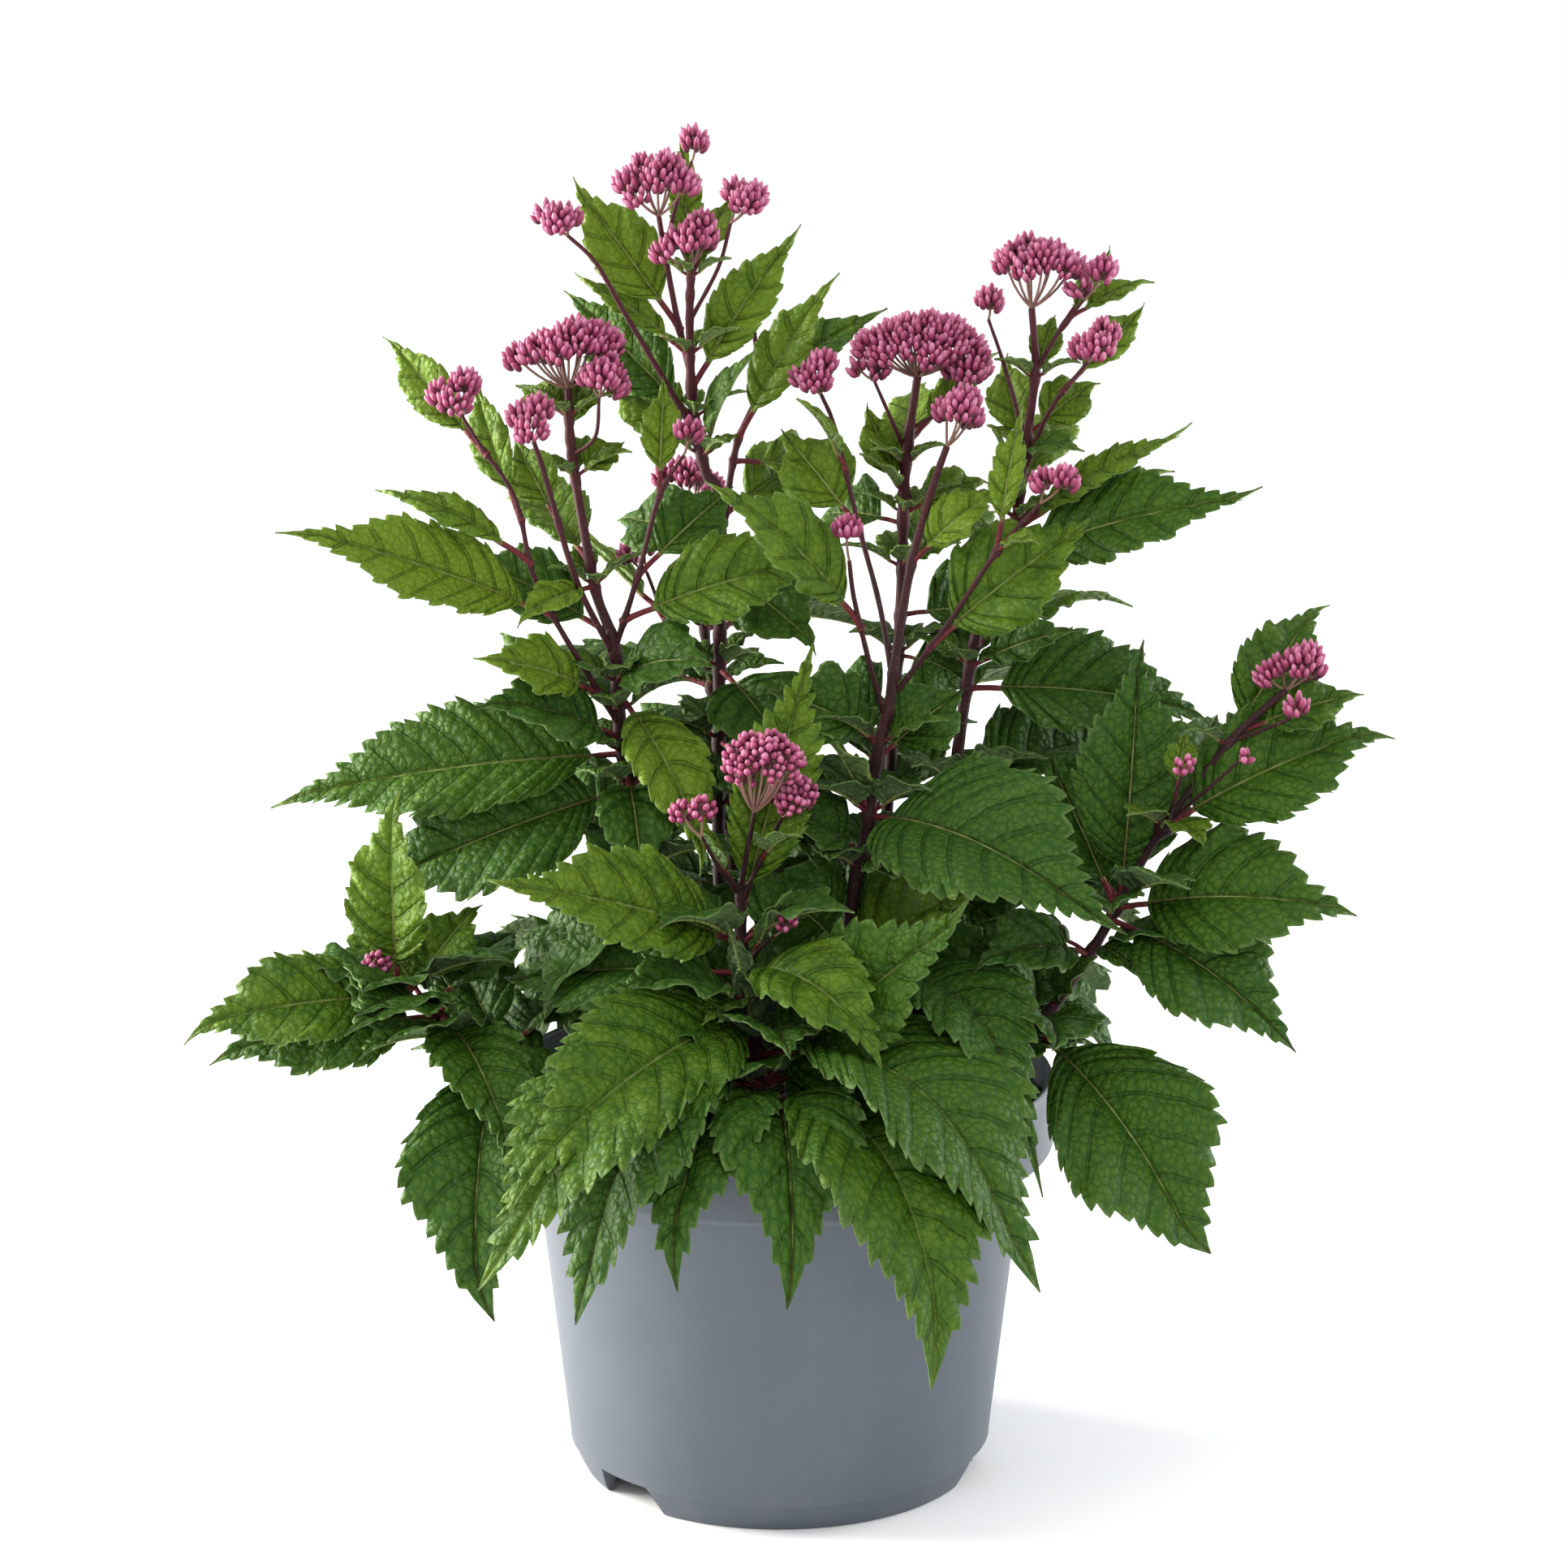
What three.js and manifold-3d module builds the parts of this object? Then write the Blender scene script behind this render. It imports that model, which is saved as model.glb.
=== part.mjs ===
// A potted eupatorium: nursery pot, root ball, nine leafy stems and their heads of buds.
// Millimetres, Z up, the pot's axis on Z, its foot on Z = 0, and the seen side facing -Y.
import * as THREE from "three";
import { mergeVertices } from "three/addons/utils/BufferGeometryUtils.js";
import Module from "manifold-3d";

const wasm = await Module();
wasm.setup();

const SEGMENTS = 32; // round the pot and the root ball
const POT_HEIGHT = 172;
const COLLAR_RADIUS = 115;
const COLLAR_DEPTH = 31;
const SHOULDER_RADIUS = 103.7; // of the wall, where it comes out from under the collar
const FOOT_RADIUS = 82.2;
const FLOOR_HEIGHT = 10.5; // of the floor's underside over the ground
const WALL = 1.9;
const CENTRE_RADIUS = 24; // of the flat middle of the floor, which is pressed down to the ground
const NOTCH_WIDTH = 34; // of the notches that let water out through the foot ring
const NOTCH_HEIGHT = 9;
const NOTCHES = [-46, 74, 194]; // degrees round from the front
const SOIL_HEIGHT = 159;
const SOIL_GAP = 0.5; // between the root ball and the pot
const CLEARANCE = 0.35; // round whatever stands in a hole, and over a branch's end
const BLADE = 0.8; // thickness of a leaf's blade
const STALK = 14; // length of a leaf's stalk
const STALK_WIDTH = 2.8; // where it meets the blade
const TOOTH = { at: 0.55, out: 1.06 }; // in its stretch of the edge, and against the outline
const NOTCH = { at: 0.88, out: 0.86 };
const TOOTHED = 0.94; // share of a blade's length that has teeth
const LAST_NOTCH = 0.874; // where the drip tip starts
const FOLD = Math.tan(THREE.MathUtils.degToRad(16)); // how a blade's halves rise from its midrib
const BUD = 6; // how far the largest buds stand out of a head's core
const BUDS_DOWN_TO = THREE.MathUtils.degToRad(108); // from straight up, where the underside starts
const FOOT_SHARE = 1.4; // a head's foot against its branch's tip

// The plant's plan. A branch is [name, radius at its foot, radius at its tip, points it grows
// through]. A leaf is [branch, place along the branch's points, tip x, y, z, width, arch,
// turn in degrees]: the seen side is read from the photo, the far side is set by eye to match.
const PLANT = {
  front: {
    branches: [
      ["main", 4.0, 3.2, [
        [-4, -50, 138], [-5, -50, 161], [-10, -50, 200], [-15, -48, 233], [-16, -46, 262],
      ]],
      ["a", 2.0, 1.4, [[-16, -46, 260], [-25, -54, 274], [-31, -60, 287]]],
      ["b", 2.4, 1.6, [[-16, -46, 260], [-13, -52, 279], [-10, -56, 296]]],
      ["c", 2.0, 1.4, [[-15, -46, 258], [-7, -46, 275], [1, -48, 292]]],
      ["d", 1.6, 1.2, [[-15, -48, 228], [-8, -58, 240], [-2, -64, 247]]],
    ],
    leaves: [
      ["main", 3.2, -115, -95, 276, 42, 8, -45],
      ["main", 2.2, -109, -145, 159, 52, 26, -30],
      ["main", 1.8, -113, -150, 125, 48, 40, -15],
      ["main", 1.5, -76, -150, 112, 38, 44, 0],
      ["main", 1.2, -44, -155, 130, 36, 34, 0],
      ["main", 1.8, 96, -142, 122, 56, 45, 6],
      ["main", 1.2, 63, -165, 93, 54, 51, 0],
      ["main", 2.8, 44, -110, 204, 36, 20, 20],
      ["main", 1.8, -22, -66, 255, 15, 3, 0],
      ["main", 2.4, -30, -84, 216, 16, 4, 0],
      ["main", 1.8, 14, -80, 205, 14, 4, 0],
      ["main", 2.8, -118, -8, 210, 46, 8, -40],
      ["main", 1.9, -89, -62, 200, 44, 8, -30],
      ["main", 3.6, 14, -18, 360, 28, 3, 45],
      ["c", 0.9, 10, -66, 289, 20, 4, 0],
      ["a", 0.3, -41, -52, 292, 20, 3, 0],
      ["d", 0.5, 5, -58, 265, 14, 2, 0],
    ],
  },
  left: {
    branches: [
      ["main", 4.4, 2.2, [
        [-42, 5, 138], [-50, 8, 220], [-65, 10, 305], [-68, 10, 349], [-76, 12, 375],
        [-85, 15, 429], [-86, 12, 457],
      ]],
      ["b", 2.6, 1.8, [[-68, 10, 346], [-83, 0, 380], [-95, -8, 425], [-99, -12, 439]]],
      ["c", 2.6, 1.3, [
        [-65, 10, 315], [-76, 4, 335], [-93, -2, 366], [-101, -6, 386], [-107, -8, 415],
        [-121, -8, 437], [-129, -10, 451],
      ]],
      ["d", 2.4, 1.4, [[-68, 10, 349], [-58, 4, 381], [-49, 4, 414], [-39, 2, 431]]],
      ["e", 1.8, 1.3, [[-85, 15, 429], [-75, 6, 438], [-73, 2, 455]]],
    ],
    leaves: [
      ["main", 2.0, -214, 24, 280, 50, 8, -45],
      ["main", 1.8, -176, 2, 246, 56, 6, -45],
      ["c", 2.0, -202, -25, 406, 44, 6, -50],
      ["c", 3.1, -165, 0, 417, 20, 8, -40],
      ["c", 4.8, -161, 30, 477, 28, 4, -60],
      ["c", 3.7, -125, 24, 461, 26, 3, -60],
      ["c", 0.8, -124, -20, 351, 30, 6, -45],
      ["main", 2.1, -123, -30, 335, 40, 6, -40],
      ["main", 3.2, -136, 25, 387, 36, 6, -45],
      ["main", 2.5, -28, -45, 268, 34, 10, 10],
      ["main", 1.9, -56, -35, 260, 30, 8, 0],
      ["main", 4.0, -107, -30, 367, 22, 4, -20],
      ["main", 4.8, -63, 22, 433, 24, 3, 40],
      ["main", 5.2, -80, 36, 462, 28, 2, 0],
      ["main", 5.5, -107, 34, 455, 22, 2, -40],
      ["b", 1.5, -109, 22, 435, 30, 3, -40],
      ["d", 2.0, -47, 24, 461, 24, 2, 0],
      ["d", 1.0, -19, 40, 412, 36, 4, 40],
      ["d", 0.4, 25, 2, 388, 46, 8, 50],
      ["main", 2.6, -25, -25, 350, 40, 8, 40],
      ["main", 1.9, -19, 36, 292, 42, 6, 30],
      ["main", 1.2, -110, 14, 180, 48, 8, -40],
      ["main", 1.2, -19, -6, 222, 44, 6, 20],
      ["main", 0.8, -132, 98, 188, 54, 16, 12],
      ["main", 1.5, -160, 92, 264, 56, 12, -14],
      ["main", 2.3, -122, 112, 330, 48, 8, 10],
      ["main", 4.2, -115, 95, 412, 38, 4, -12],
    ],
  },
  tall: {
    branches: [
      ["main", 4.4, 2.0, [
        [-22, 45, 138], [-26, 44, 260], [-25, 40, 396], [-31, 40, 419], [-36, 40, 446],
        [-37, 36, 480], [-36, 24, 505],
      ]],
      ["b", 2.6, 1.8, [[-36, 40, 456], [-42, 40, 481], [-47, 30, 511], [-49, 22, 526]]],
      ["c", 2.6, 1.4, [[-35, 40, 434], [-49, 34, 460], [-64, 28, 487], [-75, 24, 507], [-86, 22, 518]]],
      ["d", 2.8, 1.8, [[-24, 40, 393], [-18, 48, 428], [-9, 54, 451], [-11, 60, 478]]],
      ["e", 1.8, 1.3, [[-36, 38, 483], [-25, 34, 504], [-20, 32, 522]]],
      ["f", 1.8, 1.3, [[-47, 30, 511], [-41, 42, 533], [-36, 44, 546]]],
    ],
    leaves: [
      ["e", 0.5, 10, 46, 520, 40, 6, 60],
      ["d", 2.1, 24, 44, 501, 38, 4, 62],
      ["d", 1.9, 45, 56, 484, 28, 4, 40],
      ["b", 0.9, -87, 54, 538, 42, 4, -60],
      ["main", 4.6, -86, 50, 499, 20, 4, -40],
      ["main", 3.8, -90, 84, 489, 46, 4, -55],
      ["main", 5.5, -41, 70, 559, 20, 2, 0],
      ["main", 5.8, -18, 54, 532, 22, 2, 10],
      ["main", 3.2, -9, 20, 472, 34, 4, 50],
      ["d", 0.8, 27, 74, 406, 44, 6, 45],
      ["main", 3.4, -70, 66, 453, 40, 4, -45],
      ["d", 0.2, 14, 92, 418, 42, 4, 45],
      ["main", 1.9, -69, 76, 392, 44, 6, -45],
      ["main", 1.8, 17, 4, 350, 44, 6, 40],
      ["main", 1.5, 8, -6, 298, 46, 8, 20],
      ["main", 1.6, 16, 146, 362, 50, 8, 12],
      ["main", 1.1, -104, 112, 252, 54, 12, 10],
      ["main", 1.3, 15, -15, 262, 46, 8, 0],
    ],
  },
  centre: {
    branches: [
      ["main", 4.6, 2.0, [
        [22, -5, 138], [25, -4, 200], [31, -5, 253], [36, -4, 275], [41, -2, 311], [45, 0, 327],
        [48, 4, 350], [54, 8, 385], [62, 10, 415], [68, 6, 434],
      ]],
      ["b", 2.4, 1.5, [[43, 0, 324], [36, -10, 350], [30, -22, 377], [28, -28, 393]]],
      ["c", 2.4, 1.5, [[49, 2, 334], [70, -6, 365], [88, -12, 394], [105, -14, 414]]],
      ["d", 2.4, 1.4, [[46, 2, 341], [41, 12, 368], [32, 22, 401], [23, 26, 438], [17, 24, 453]]],
    ],
    leaves: [
      ["b", 1.5, -30, -36, 426, 44, 8, -50],
      ["c", 0.6, 129, -4, 406, 52, 6, 55],
      ["main", 3.2, 134, -95, 254, 64, 18, 30],
      ["main", 3.2, 16, -24, 323, 26, 3, -20],
      ["main", 3.8, 77, 14, 331, 34, 4, 40],
      ["main", 7.0, 92, 4, 418, 30, 4, 45],
      ["main", 1.2, 81, -40, 261, 50, 4, 55],
      ["main", 0.7, 103, -62, 217, 52, 12, 35],
      ["main", 0.9, 103, -104, 149, 46, 53, 2],
      ["c", 2.0, 104, -34, 402, 16, 3, 20],
      ["c", 2.0, 99, 6, 451, 20, 2, 0],
      ["d", 2.5, 7, 8, 454, 26, 3, -30],
      ["d", 1.9, 0, 44, 435, 44, 4, -45],
      ["main", 2.5, -2, -14, 284, 34, 6, -30],
      ["main", 2.2, 69, -55, 268, 26, 6, 20],
      ["main", 4.0, -5, -4, 334, 40, 6, -40],
    ],
  },
  high: {
    branches: [
      ["main", 4.0, 2.4, [
        [40, 60, 138], [45, 60, 250], [51, 58, 354], [52, 52, 406], [54, 46, 434], [57, 40, 458],
      ]],
      ["b", 1.8, 1.3, [[53, 50, 424], [45, 40, 443], [39, 36, 457]]],
      ["c", 1.8, 1.3, [[54, 46, 435], [69, 44, 445], [75, 42, 459]]],
    ],
    leaves: [
      ["main", 3.0, 35, 66, 443, 28, 3, -40],
      ["main", 3.0, 33, 34, 427, 24, 3, -20],
      ["main", 2.8, 88, 66, 411, 30, 4, 45],
      ["main", 3.8, 92, 72, 465, 22, 3, 30],
      ["main", 2.7, 17, 84, 391, 44, 6, -40],
      ["main", 2.0, 96, 86, 348, 46, 6, 45],
      ["main", 1.5, 14, 70, 316, 44, 4, -40],
      ["main", 1.8, 82, 50, 324, 44, 6, 40],
      ["main", 1.5, 126, 134, 306, 54, 12, -12],
      ["main", 1.3, 2, 140, 278, 50, 12, 14],
      ["main", 0.8, 118, 148, 196, 54, 20, -8],
      ["main", 2.3, 92, 138, 392, 44, 6, 16],
      ["main", 3.4, 62, 112, 446, 34, 4, -16],
      ["main", 0.6, 35, 160, 165, 54, 26, 8],
    ],
  },
  right: {
    branches: [
      ["main", 4.2, 2.0, [
        [72, 30, 138], [70, 34, 240], [81, 36, 344], [96, 34, 386], [101, 32, 427],
        [105, 30, 461], [103, 26, 488],
      ]],
      ["b", 2.2, 1.4, [[102, 32, 422], [111, 22, 447], [125, 10, 468]]],
      ["c", 1.9, 1.3, [[105, 30, 461], [114, 26, 478], [124, 22, 492]]],
      ["d", 1.9, 1.3, [[101, 32, 434], [93, 36, 462], [86, 38, 482]]],
    ],
    leaves: [
      ["main", 1.8, 183, 36, 314, 50, 10, 45],
      ["main", 2.9, 196, -5, 415, 50, 8, 50],
      ["main", 1.9, 124, 14, 357, 22, 4, 50],
      ["main", 4.0, 94, 66, 464, 30, 2, -30],
      ["main", 3.3, 88, 18, 440, 24, 2, -30],
      ["main", 4.2, 132, 44, 456, 32, 4, 50],
      ["main", 4.0, 123, 0, 433, 24, 4, 30],
      ["main", 3.2, 169, 12, 440, 24, 5, 40],
      ["main", 3.3, 165, 48, 418, 26, 5, 40],
      ["b", 1.4, 152, 44, 487, 24, 3, 40],
      ["c", 1.4, 153, 40, 498, 16, 3, 30],
      ["c", 1.2, 139, 60, 509, 14, 2, 20],
      ["main", 4.9, 114, 50, 483, 20, 2, 20],
      ["main", 1.2, 132, 80, 250, 50, 8, 40],
      ["main", 1.2, 114, 24, 240, 46, 8, 30],
      ["main", 0.9, 166, 88, 200, 54, 18, -12],
      ["main", 1.4, 186, 94, 290, 56, 12, 20],
      ["main", 2.0, 150, 116, 350, 46, 8, -4],
      ["main", 3.6, 125, 105, 437, 34, 4, 12],
    ],
  },
  low_right: {
    branches: [
      ["main", 4.0, 2.0, [
        [58, -20, 138], [66, -24, 175], [102, -26, 194], [127, -24, 228], [138, -22, 247],
        [157, -20, 281], [185, -16, 317], [206, -17, 338],
      ]],
      ["b", 1.8, 1.3, [[184, -16, 316], [197, -24, 323], [207, -30, 329]]],
      ["c", 1.6, 1.2, [[157, -20, 280], [160, -34, 296], [162, -42, 308]]],
      ["d", 1.6, 1.2, [[160, -20, 284], [174, -34, 301], [185, -42, 314]]],
    ],
    leaves: [
      ["main", 4.1, 147, 4, 355, 44, 4, 30],
      ["main", 5.0, 251, -4, 319, 44, 10, 45],
      ["main", 4.0, 235, -45, 251, 50, 12, 45],
      ["main", 3.8, 209, -60, 196, 46, 16, 40],
      ["main", 2.1, 170, -75, 113, 54, 22, 35],
      ["main", 6.1, 239, -6, 334, 24, 4, 45],
      ["main", 5.9, 226, 34, 366, 30, 4, 30],
      ["main", 5.0, 140, -44, 292, 16, 3, 0],
      ["main", 5.0, 172, -48, 280, 18, 4, 0],
      ["c", 1.2, 166, -16, 321, 12, 2, 0],
      ["main", 3.1, 147, -52, 225, 12, 6, 20],
      ["main", 2.3, 130, -34, 230, 22, 3, 30],
      ["main", 2.1, 128, -54, 202, 20, 4, 20],
      ["main", 3.0, 77, -60, 233, 30, 8, -30],
      ["main", 4.0, 111, 18, 303, 44, 4, -30],
      ["main", 5.0, 184, 34, 317, 36, 4, 30],
    ],
  },
  low_left: {
    branches: [
      ["main", 3.6, 1.8, [
        [-62, -20, 138], [-76, -22, 168], [-101, -22, 178], [-121, -22, 191], [-140, -22, 201],
        [-157, -24, 211], [-166, -29, 220],
      ]],
    ],
    leaves: [
      ["main", 4.8, -244, -50, 202, 36, 10, -45],
      ["main", 4.0, -234, -42, 188, 40, 10, -45],
      ["main", 4.0, -105, -106, 163, 34, 12, 0],
      ["main", 4.8, -125, 2, 243, 24, 3, 30],
      ["main", 5.0, -156, -38, 303, 32, 3, -30],
      ["main", 4.2, -180, 14, 243, 28, 3, -30],
      ["main", 2.6, -120, -110, 100, 46, 26, 5],
      ["main", 2.6, -138, 34, 211, 36, 4, -30],
    ],
  },
  back: {
    branches: [
      ["main", 4.0, 2.4, [[-12, 88, 138], [-20, 98, 230], [-32, 110, 330], [-38, 116, 390]]],
      ["b", 2.0, 1.4, [[-30, 108, 312], [-48, 112, 338], [-58, 116, 362]]],
    ],
    leaves: [
      ["main", 0.8, -104, 160, 184, 54, 22, -10],
      ["main", 0.9, 48, 172, 220, 54, 18, 12],
      ["main", 1.5, -28, 190, 276, 54, 14, -12],
      ["main", 1.8, -118, 160, 306, 46, 10, 12],
      ["main", 2.1, 45, 162, 326, 44, 8, -14],
      ["b", 1.2, -105, 130, 385, 26, 4, 14],
    ],
  },};

// Flower heads: [name, stem, clusters that have grown together], and a cluster is
// [the branch that carries it, centre x, y, z, half size along x, y, z].
const HEADS = [
  ["front_low", "front", [["a", -35, -62, 297, 11, 10, 8]]],
  ["front_main", "front", [["b", -7, -60, 317, 17, 14, 14], ["c", 5, -52, 300, 13, 11, 10]]],
  ["front_side", "front", [["d", 1, -66, 253, 7, 6, 7]]],
  ["left_main", "left", [["main", -86, 12, 472, 24, 19, 12], ["e", -72, 0, 463, 14, 12, 9]]],
  ["left_second", "left", [["b", -100, -14, 447, 13, 12, 11]]],
  ["left_outer", "left", [["c", -131, -10, 458, 15, 10, 9]]],
  ["left_inner", "left", [["d", -37, 0, 438, 8, 8, 8]]],
  ["tall_main", "tall", [["main", -36, 22, 514, 16, 12, 12]]],
  ["tall_second", "tall", [["b", -50, 20, 537, 20, 13, 14]]],
  ["tall_outer", "tall", [["c", -90, 20, 526, 14, 11, 8]]],
  ["tall_right", "tall", [["e", -14, 30, 534, 13, 11, 8]]],
  ["tall_top", "tall", [["f", -35, 44, 552, 10, 9, 8]]],
  ["tall_young", "tall", [["d", -11, 61, 484, 5, 5, 5]]],
  ["centre_main", "centre", [["main", 72, 4, 447, 14, 13, 12]]],
  ["centre_low", "centre", [["b", 27, -30, 402, 9, 8, 9]]],
  ["centre_right", "centre", [["c", 111, -14, 422, 12, 11, 11]]],
  ["centre_inner", "centre", [["d", 14, 22, 462, 13, 11, 8]]],
  ["high_main", "high", [
    ["main", 57, 40, 470, 27, 20, 13],
    ["b", 37, 36, 462, 11, 9, 7],
    ["c", 77, 38, 461, 14, 12, 10],
  ]],
  ["right_main", "right", [["main", 106, 26, 505, 19, 16, 12], ["c", 127, 20, 500, 13, 10, 9]]],
  ["right_outer", "right", [["b", 128, 8, 474, 14, 11, 11]]],
  ["right_inner", "right", [["d", 86, 38, 487, 11, 9, 8]]],
  ["low_right_main", "low_right", [["main", 210, -18, 346, 17, 12, 11]]],
  ["low_right_under", "low_right", [["b", 209, -32, 332, 11, 8, 7]]],
  ["low_right_first", "low_right", [["c", 161, -44, 312, 7, 6, 6]]],
  ["low_right_second", "low_right", [["d", 187, -44, 316, 4, 4, 4]]],
  ["low_left_main", "low_left", [["main", -169, -30, 225, 10, 8, 8]]],
  ["back_main", "back", [["main", -40, 118, 402, 16, 14, 11]]],
  ["back_second", "back", [["b", -62, 118, 371, 11, 10, 8]]],
];

const UP = new THREE.Vector3(0, 0, 1);
const ACROSS = new THREE.Vector3(0.3, 1, 0.2); // a direction in which no branch runs
const vec = (p) => new THREE.Vector3(p[0], p[1], p[2]);

// A closed list of triangles as a solid, without those that have come down to a line.
function solidOf(vertices, triangles) {
  const kept = triangles.filter(([a, b, c]) => a !== b && b !== c && c !== a);
  return new wasm.Manifold(
    new wasm.Mesh({
      numProp: 3,
      vertProperties: new Float32Array(vertices.flatMap((v) => [v.x, v.y, v.z])),
      triVerts: new Uint32Array(kept.flat()),
    }),
  );
}

// A three.js geometry as a solid, with the corners that its faces share merged.
function solidFrom(geometry) {
  const bare = new THREE.BufferGeometry();
  bare.setAttribute("position", geometry.getAttribute("position"));
  bare.setIndex(geometry.index);
  const merged = mergeVertices(bare, 1e-3);
  const position = merged.getAttribute("position");
  const corners = [...merged.index.array];
  const vertices = [...Array(position.count).keys()].map((i) =>
    new THREE.Vector3().fromBufferAttribute(position, i),
  );
  const triangles = [...Array(corners.length / 3).keys()].map((i) => corners.slice(3 * i, 3 * i + 3));
  return solidOf(vertices, triangles);
}

const union = (solids) => wasm.Manifold.union(solids);

// A tapering branch through its points. With grow it is the hole that the branch stands in.
function branchSolid({ points, foot, tip, sides }, grow = 0) {
  const last = points.length - 1;
  const vertices = [];
  points.forEach((point, i) => {
    const ahead = vec(points[Math.min(i + 1, last)])
      .sub(vec(points[Math.max(i - 1, 0)]))
      .normalize();
    const end = (i === last) - (i === 0);
    const centre = vec(point).addScaledVector(ahead, end * grow);
    const a = ahead.clone().cross(ACROSS).normalize();
    const b = ahead.clone().cross(a);
    const radius = THREE.MathUtils.lerp(foot, tip, i / last) + grow;
    for (let k = 0; k < sides; k++) {
      const angle = (2 * Math.PI * k) / sides;
      vertices.push(
        centre
          .clone()
          .addScaledVector(a, radius * Math.cos(angle))
          .addScaledVector(b, radius * Math.sin(angle)),
      );
    }
  });
  return solidOf(vertices, tubeTriangles(last, sides));
}

// The triangles of a closed tube whose rings of corners follow one another.
function tubeTriangles(bands, sides) {
  const triangles = [];
  for (let i = 0; i < bands; i++) {
    for (let k = 0; k < sides; k++) {
      const a = i * sides + k;
      const b = i * sides + ((k + 1) % sides);
      triangles.push([a, b, b + sides], [a, b + sides, a + sides]);
    }
  }
  const top = bands * sides;
  for (let k = 1; k < sides - 1; k++) {
    triangles.push([0, k + 1, k], [top, top + k, top + k + 1]);
  }
  return triangles;
}

// Half a blade's width at a share of its length, 1 at its widest: broad below the middle,
// and drawn out to a long drip tip.
const outline = (share) => 3.57 * share ** 0.7 * (1 - share) ** 1.25;

// Teeth on each side of a blade.
const teethOf = (length) => (length > 95 ? 3 : length > 36 ? 2 : 1);

// One leaf with its stalk: a folded blade that arches from base to tip, with coarse teeth.
function leafSolid(base, tip, width, arch, turn, root) {
  const ahead = tip.clone().sub(base);
  const length = ahead.length();
  ahead.normalize();
  // The blade's width lies level, then turns about the line from base to tip.
  const side = ahead
    .clone()
    .cross(UP)
    .normalize()
    .applyAxisAngle(ahead, THREE.MathUtils.degToRad(turn));
  const face = side.clone().cross(ahead);
  const bend = base.clone().lerp(tip, 0.5).addScaledVector(face, 2 * arch);
  const rib = new THREE.QuadraticBezierCurve3(base, bend, tip);

  const neckAt = Math.min(0.22, STALK / length);
  const normal = (share) => side.clone().cross(rib.getTangent(share)).normalize();

  const vertices = [];
  const under = []; // the corner below each corner of the top
  const put = (point) => vertices.push(point) - 1;
  const blade = (share, across) => {
    const out = normal(share);
    const point = rib.getPoint(share).addScaledVector(side, across);
    const corner = put(point.addScaledVector(out, Math.abs(across) * FOLD).clone());
    under[corner] = put(point.addScaledVector(out, -BLADE));
    return corner;
  };
  // The stalk is three-sided, two corners on top and one below them, and runs to a point that
  // is sunk past the middle of its branch.
  const foot = put(base.clone().addScaledVector(rib.getTangent(0), -root));
  const neckPoint = rib.getPoint(neckAt);
  const neck = [-0.5, 0.5].map((hand) =>
    put(neckPoint.clone().addScaledVector(side, hand * STALK_WIDTH)),
  );
  const keel = put(neckPoint.addScaledVector(normal(neckAt), -0.8 * STALK_WIDTH));
  [under[foot], under[neck[0]], under[neck[1]]] = [foot, keel, keel];

  const teeth = teethOf(length);
  // Each tooth is a point that stands out past the outline, and the notch ahead of it.
  const edge = [];
  for (let k = 0; k < teeth; k++) {
    const notch = k === teeth - 1 ? LAST_NOTCH : (TOOTHED * (k + NOTCH.at)) / teeth;
    edge.push([(TOOTHED * (k + TOOTH.at)) / teeth, TOOTH.out], [notch, NOTCH.out]);
  }
  const stations = edge.map(([share]) => THREE.MathUtils.lerp(neckAt, 1, share));
  const [left, right] = [-1, 1].map((hand) =>
    edge.map(([share, out], i) => blade(stations[i], (hand * out * outline(share) * width) / 2)),
  );
  const end = blade(1, 0);
  const ribStations = [...Array(teeth).keys()].map((k) =>
    THREE.MathUtils.lerp(neckAt, 1, (TOOTHED * (k + 0.5)) / teeth),
  );
  const middle = ribStations.map((station) => blade(station, 0));

  const top = [
    [foot, neck[1], neck[0]],
    [neck[0], neck[1], middle[0]],
  ];
  // The midrib is zipped to each edge alike, and the underside takes the same triangles.
  const steps = [...stations, 1];
  for (const [line, hand] of [
    [[neck[0], ...left, end], -1],
    [[neck[1], ...right, end], 1],
  ]) {
    let i = 0;
    let j = 0;
    while (i < steps.length || j < middle.length - 1) {
      const onEdge = j === middle.length - 1 || (i < steps.length && steps[i] <= ribStations[j + 1]);
      const third = onEdge ? line[i + 1] : middle[j + 1];
      const next = [line[i], third, middle[j]];
      top.push(hand > 0 ? next : next.reverse());
      if (onEdge) i++;
      else j++;
    }
  }
  const bottom = top.map(([a, b, c]) => [under[c], under[b], under[a]]);
  const ring = [foot, neck[1], ...right, end, ...left.reverse(), neck[0]];
  const wall = ring.flatMap((p, i) => {
    const q = ring[(i + 1) % ring.length];
    return [
      [p, under[p], under[q]],
      [p, under[q], q],
    ];
  });
  return solidOf(vertices, [...top, ...bottom, ...wall]);
}

function branchesOf(stem) {
  return PLANT[stem].branches.map(([name, foot, tip, points]) => {
    const sides = name === "main" ? 5 : 4;
    return { name, foot, tip, points, sides };
  });
}

function leafyStem(stem) {
  const branches = branchesOf(stem);
  const leaves = PLANT[stem].leaves.map(([name, place, x, y, z, width, arch, turn]) => {
    const { points, foot, tip } = branches.find((branch) => branch.name === name);
    const curve = new THREE.CatmullRomCurve3(points.map(vec), false, "catmullrom", 0.5);
    const share = place / (points.length - 1);
    const root = 0.6 * THREE.MathUtils.lerp(foot, tip, share);
    return leafSolid(curve.getPoint(share), vec([x, y, z]), width, arch, turn, root);
  });
  return union([...branches.map((branch) => branchSolid(branch)), ...leaves]);
}

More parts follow.
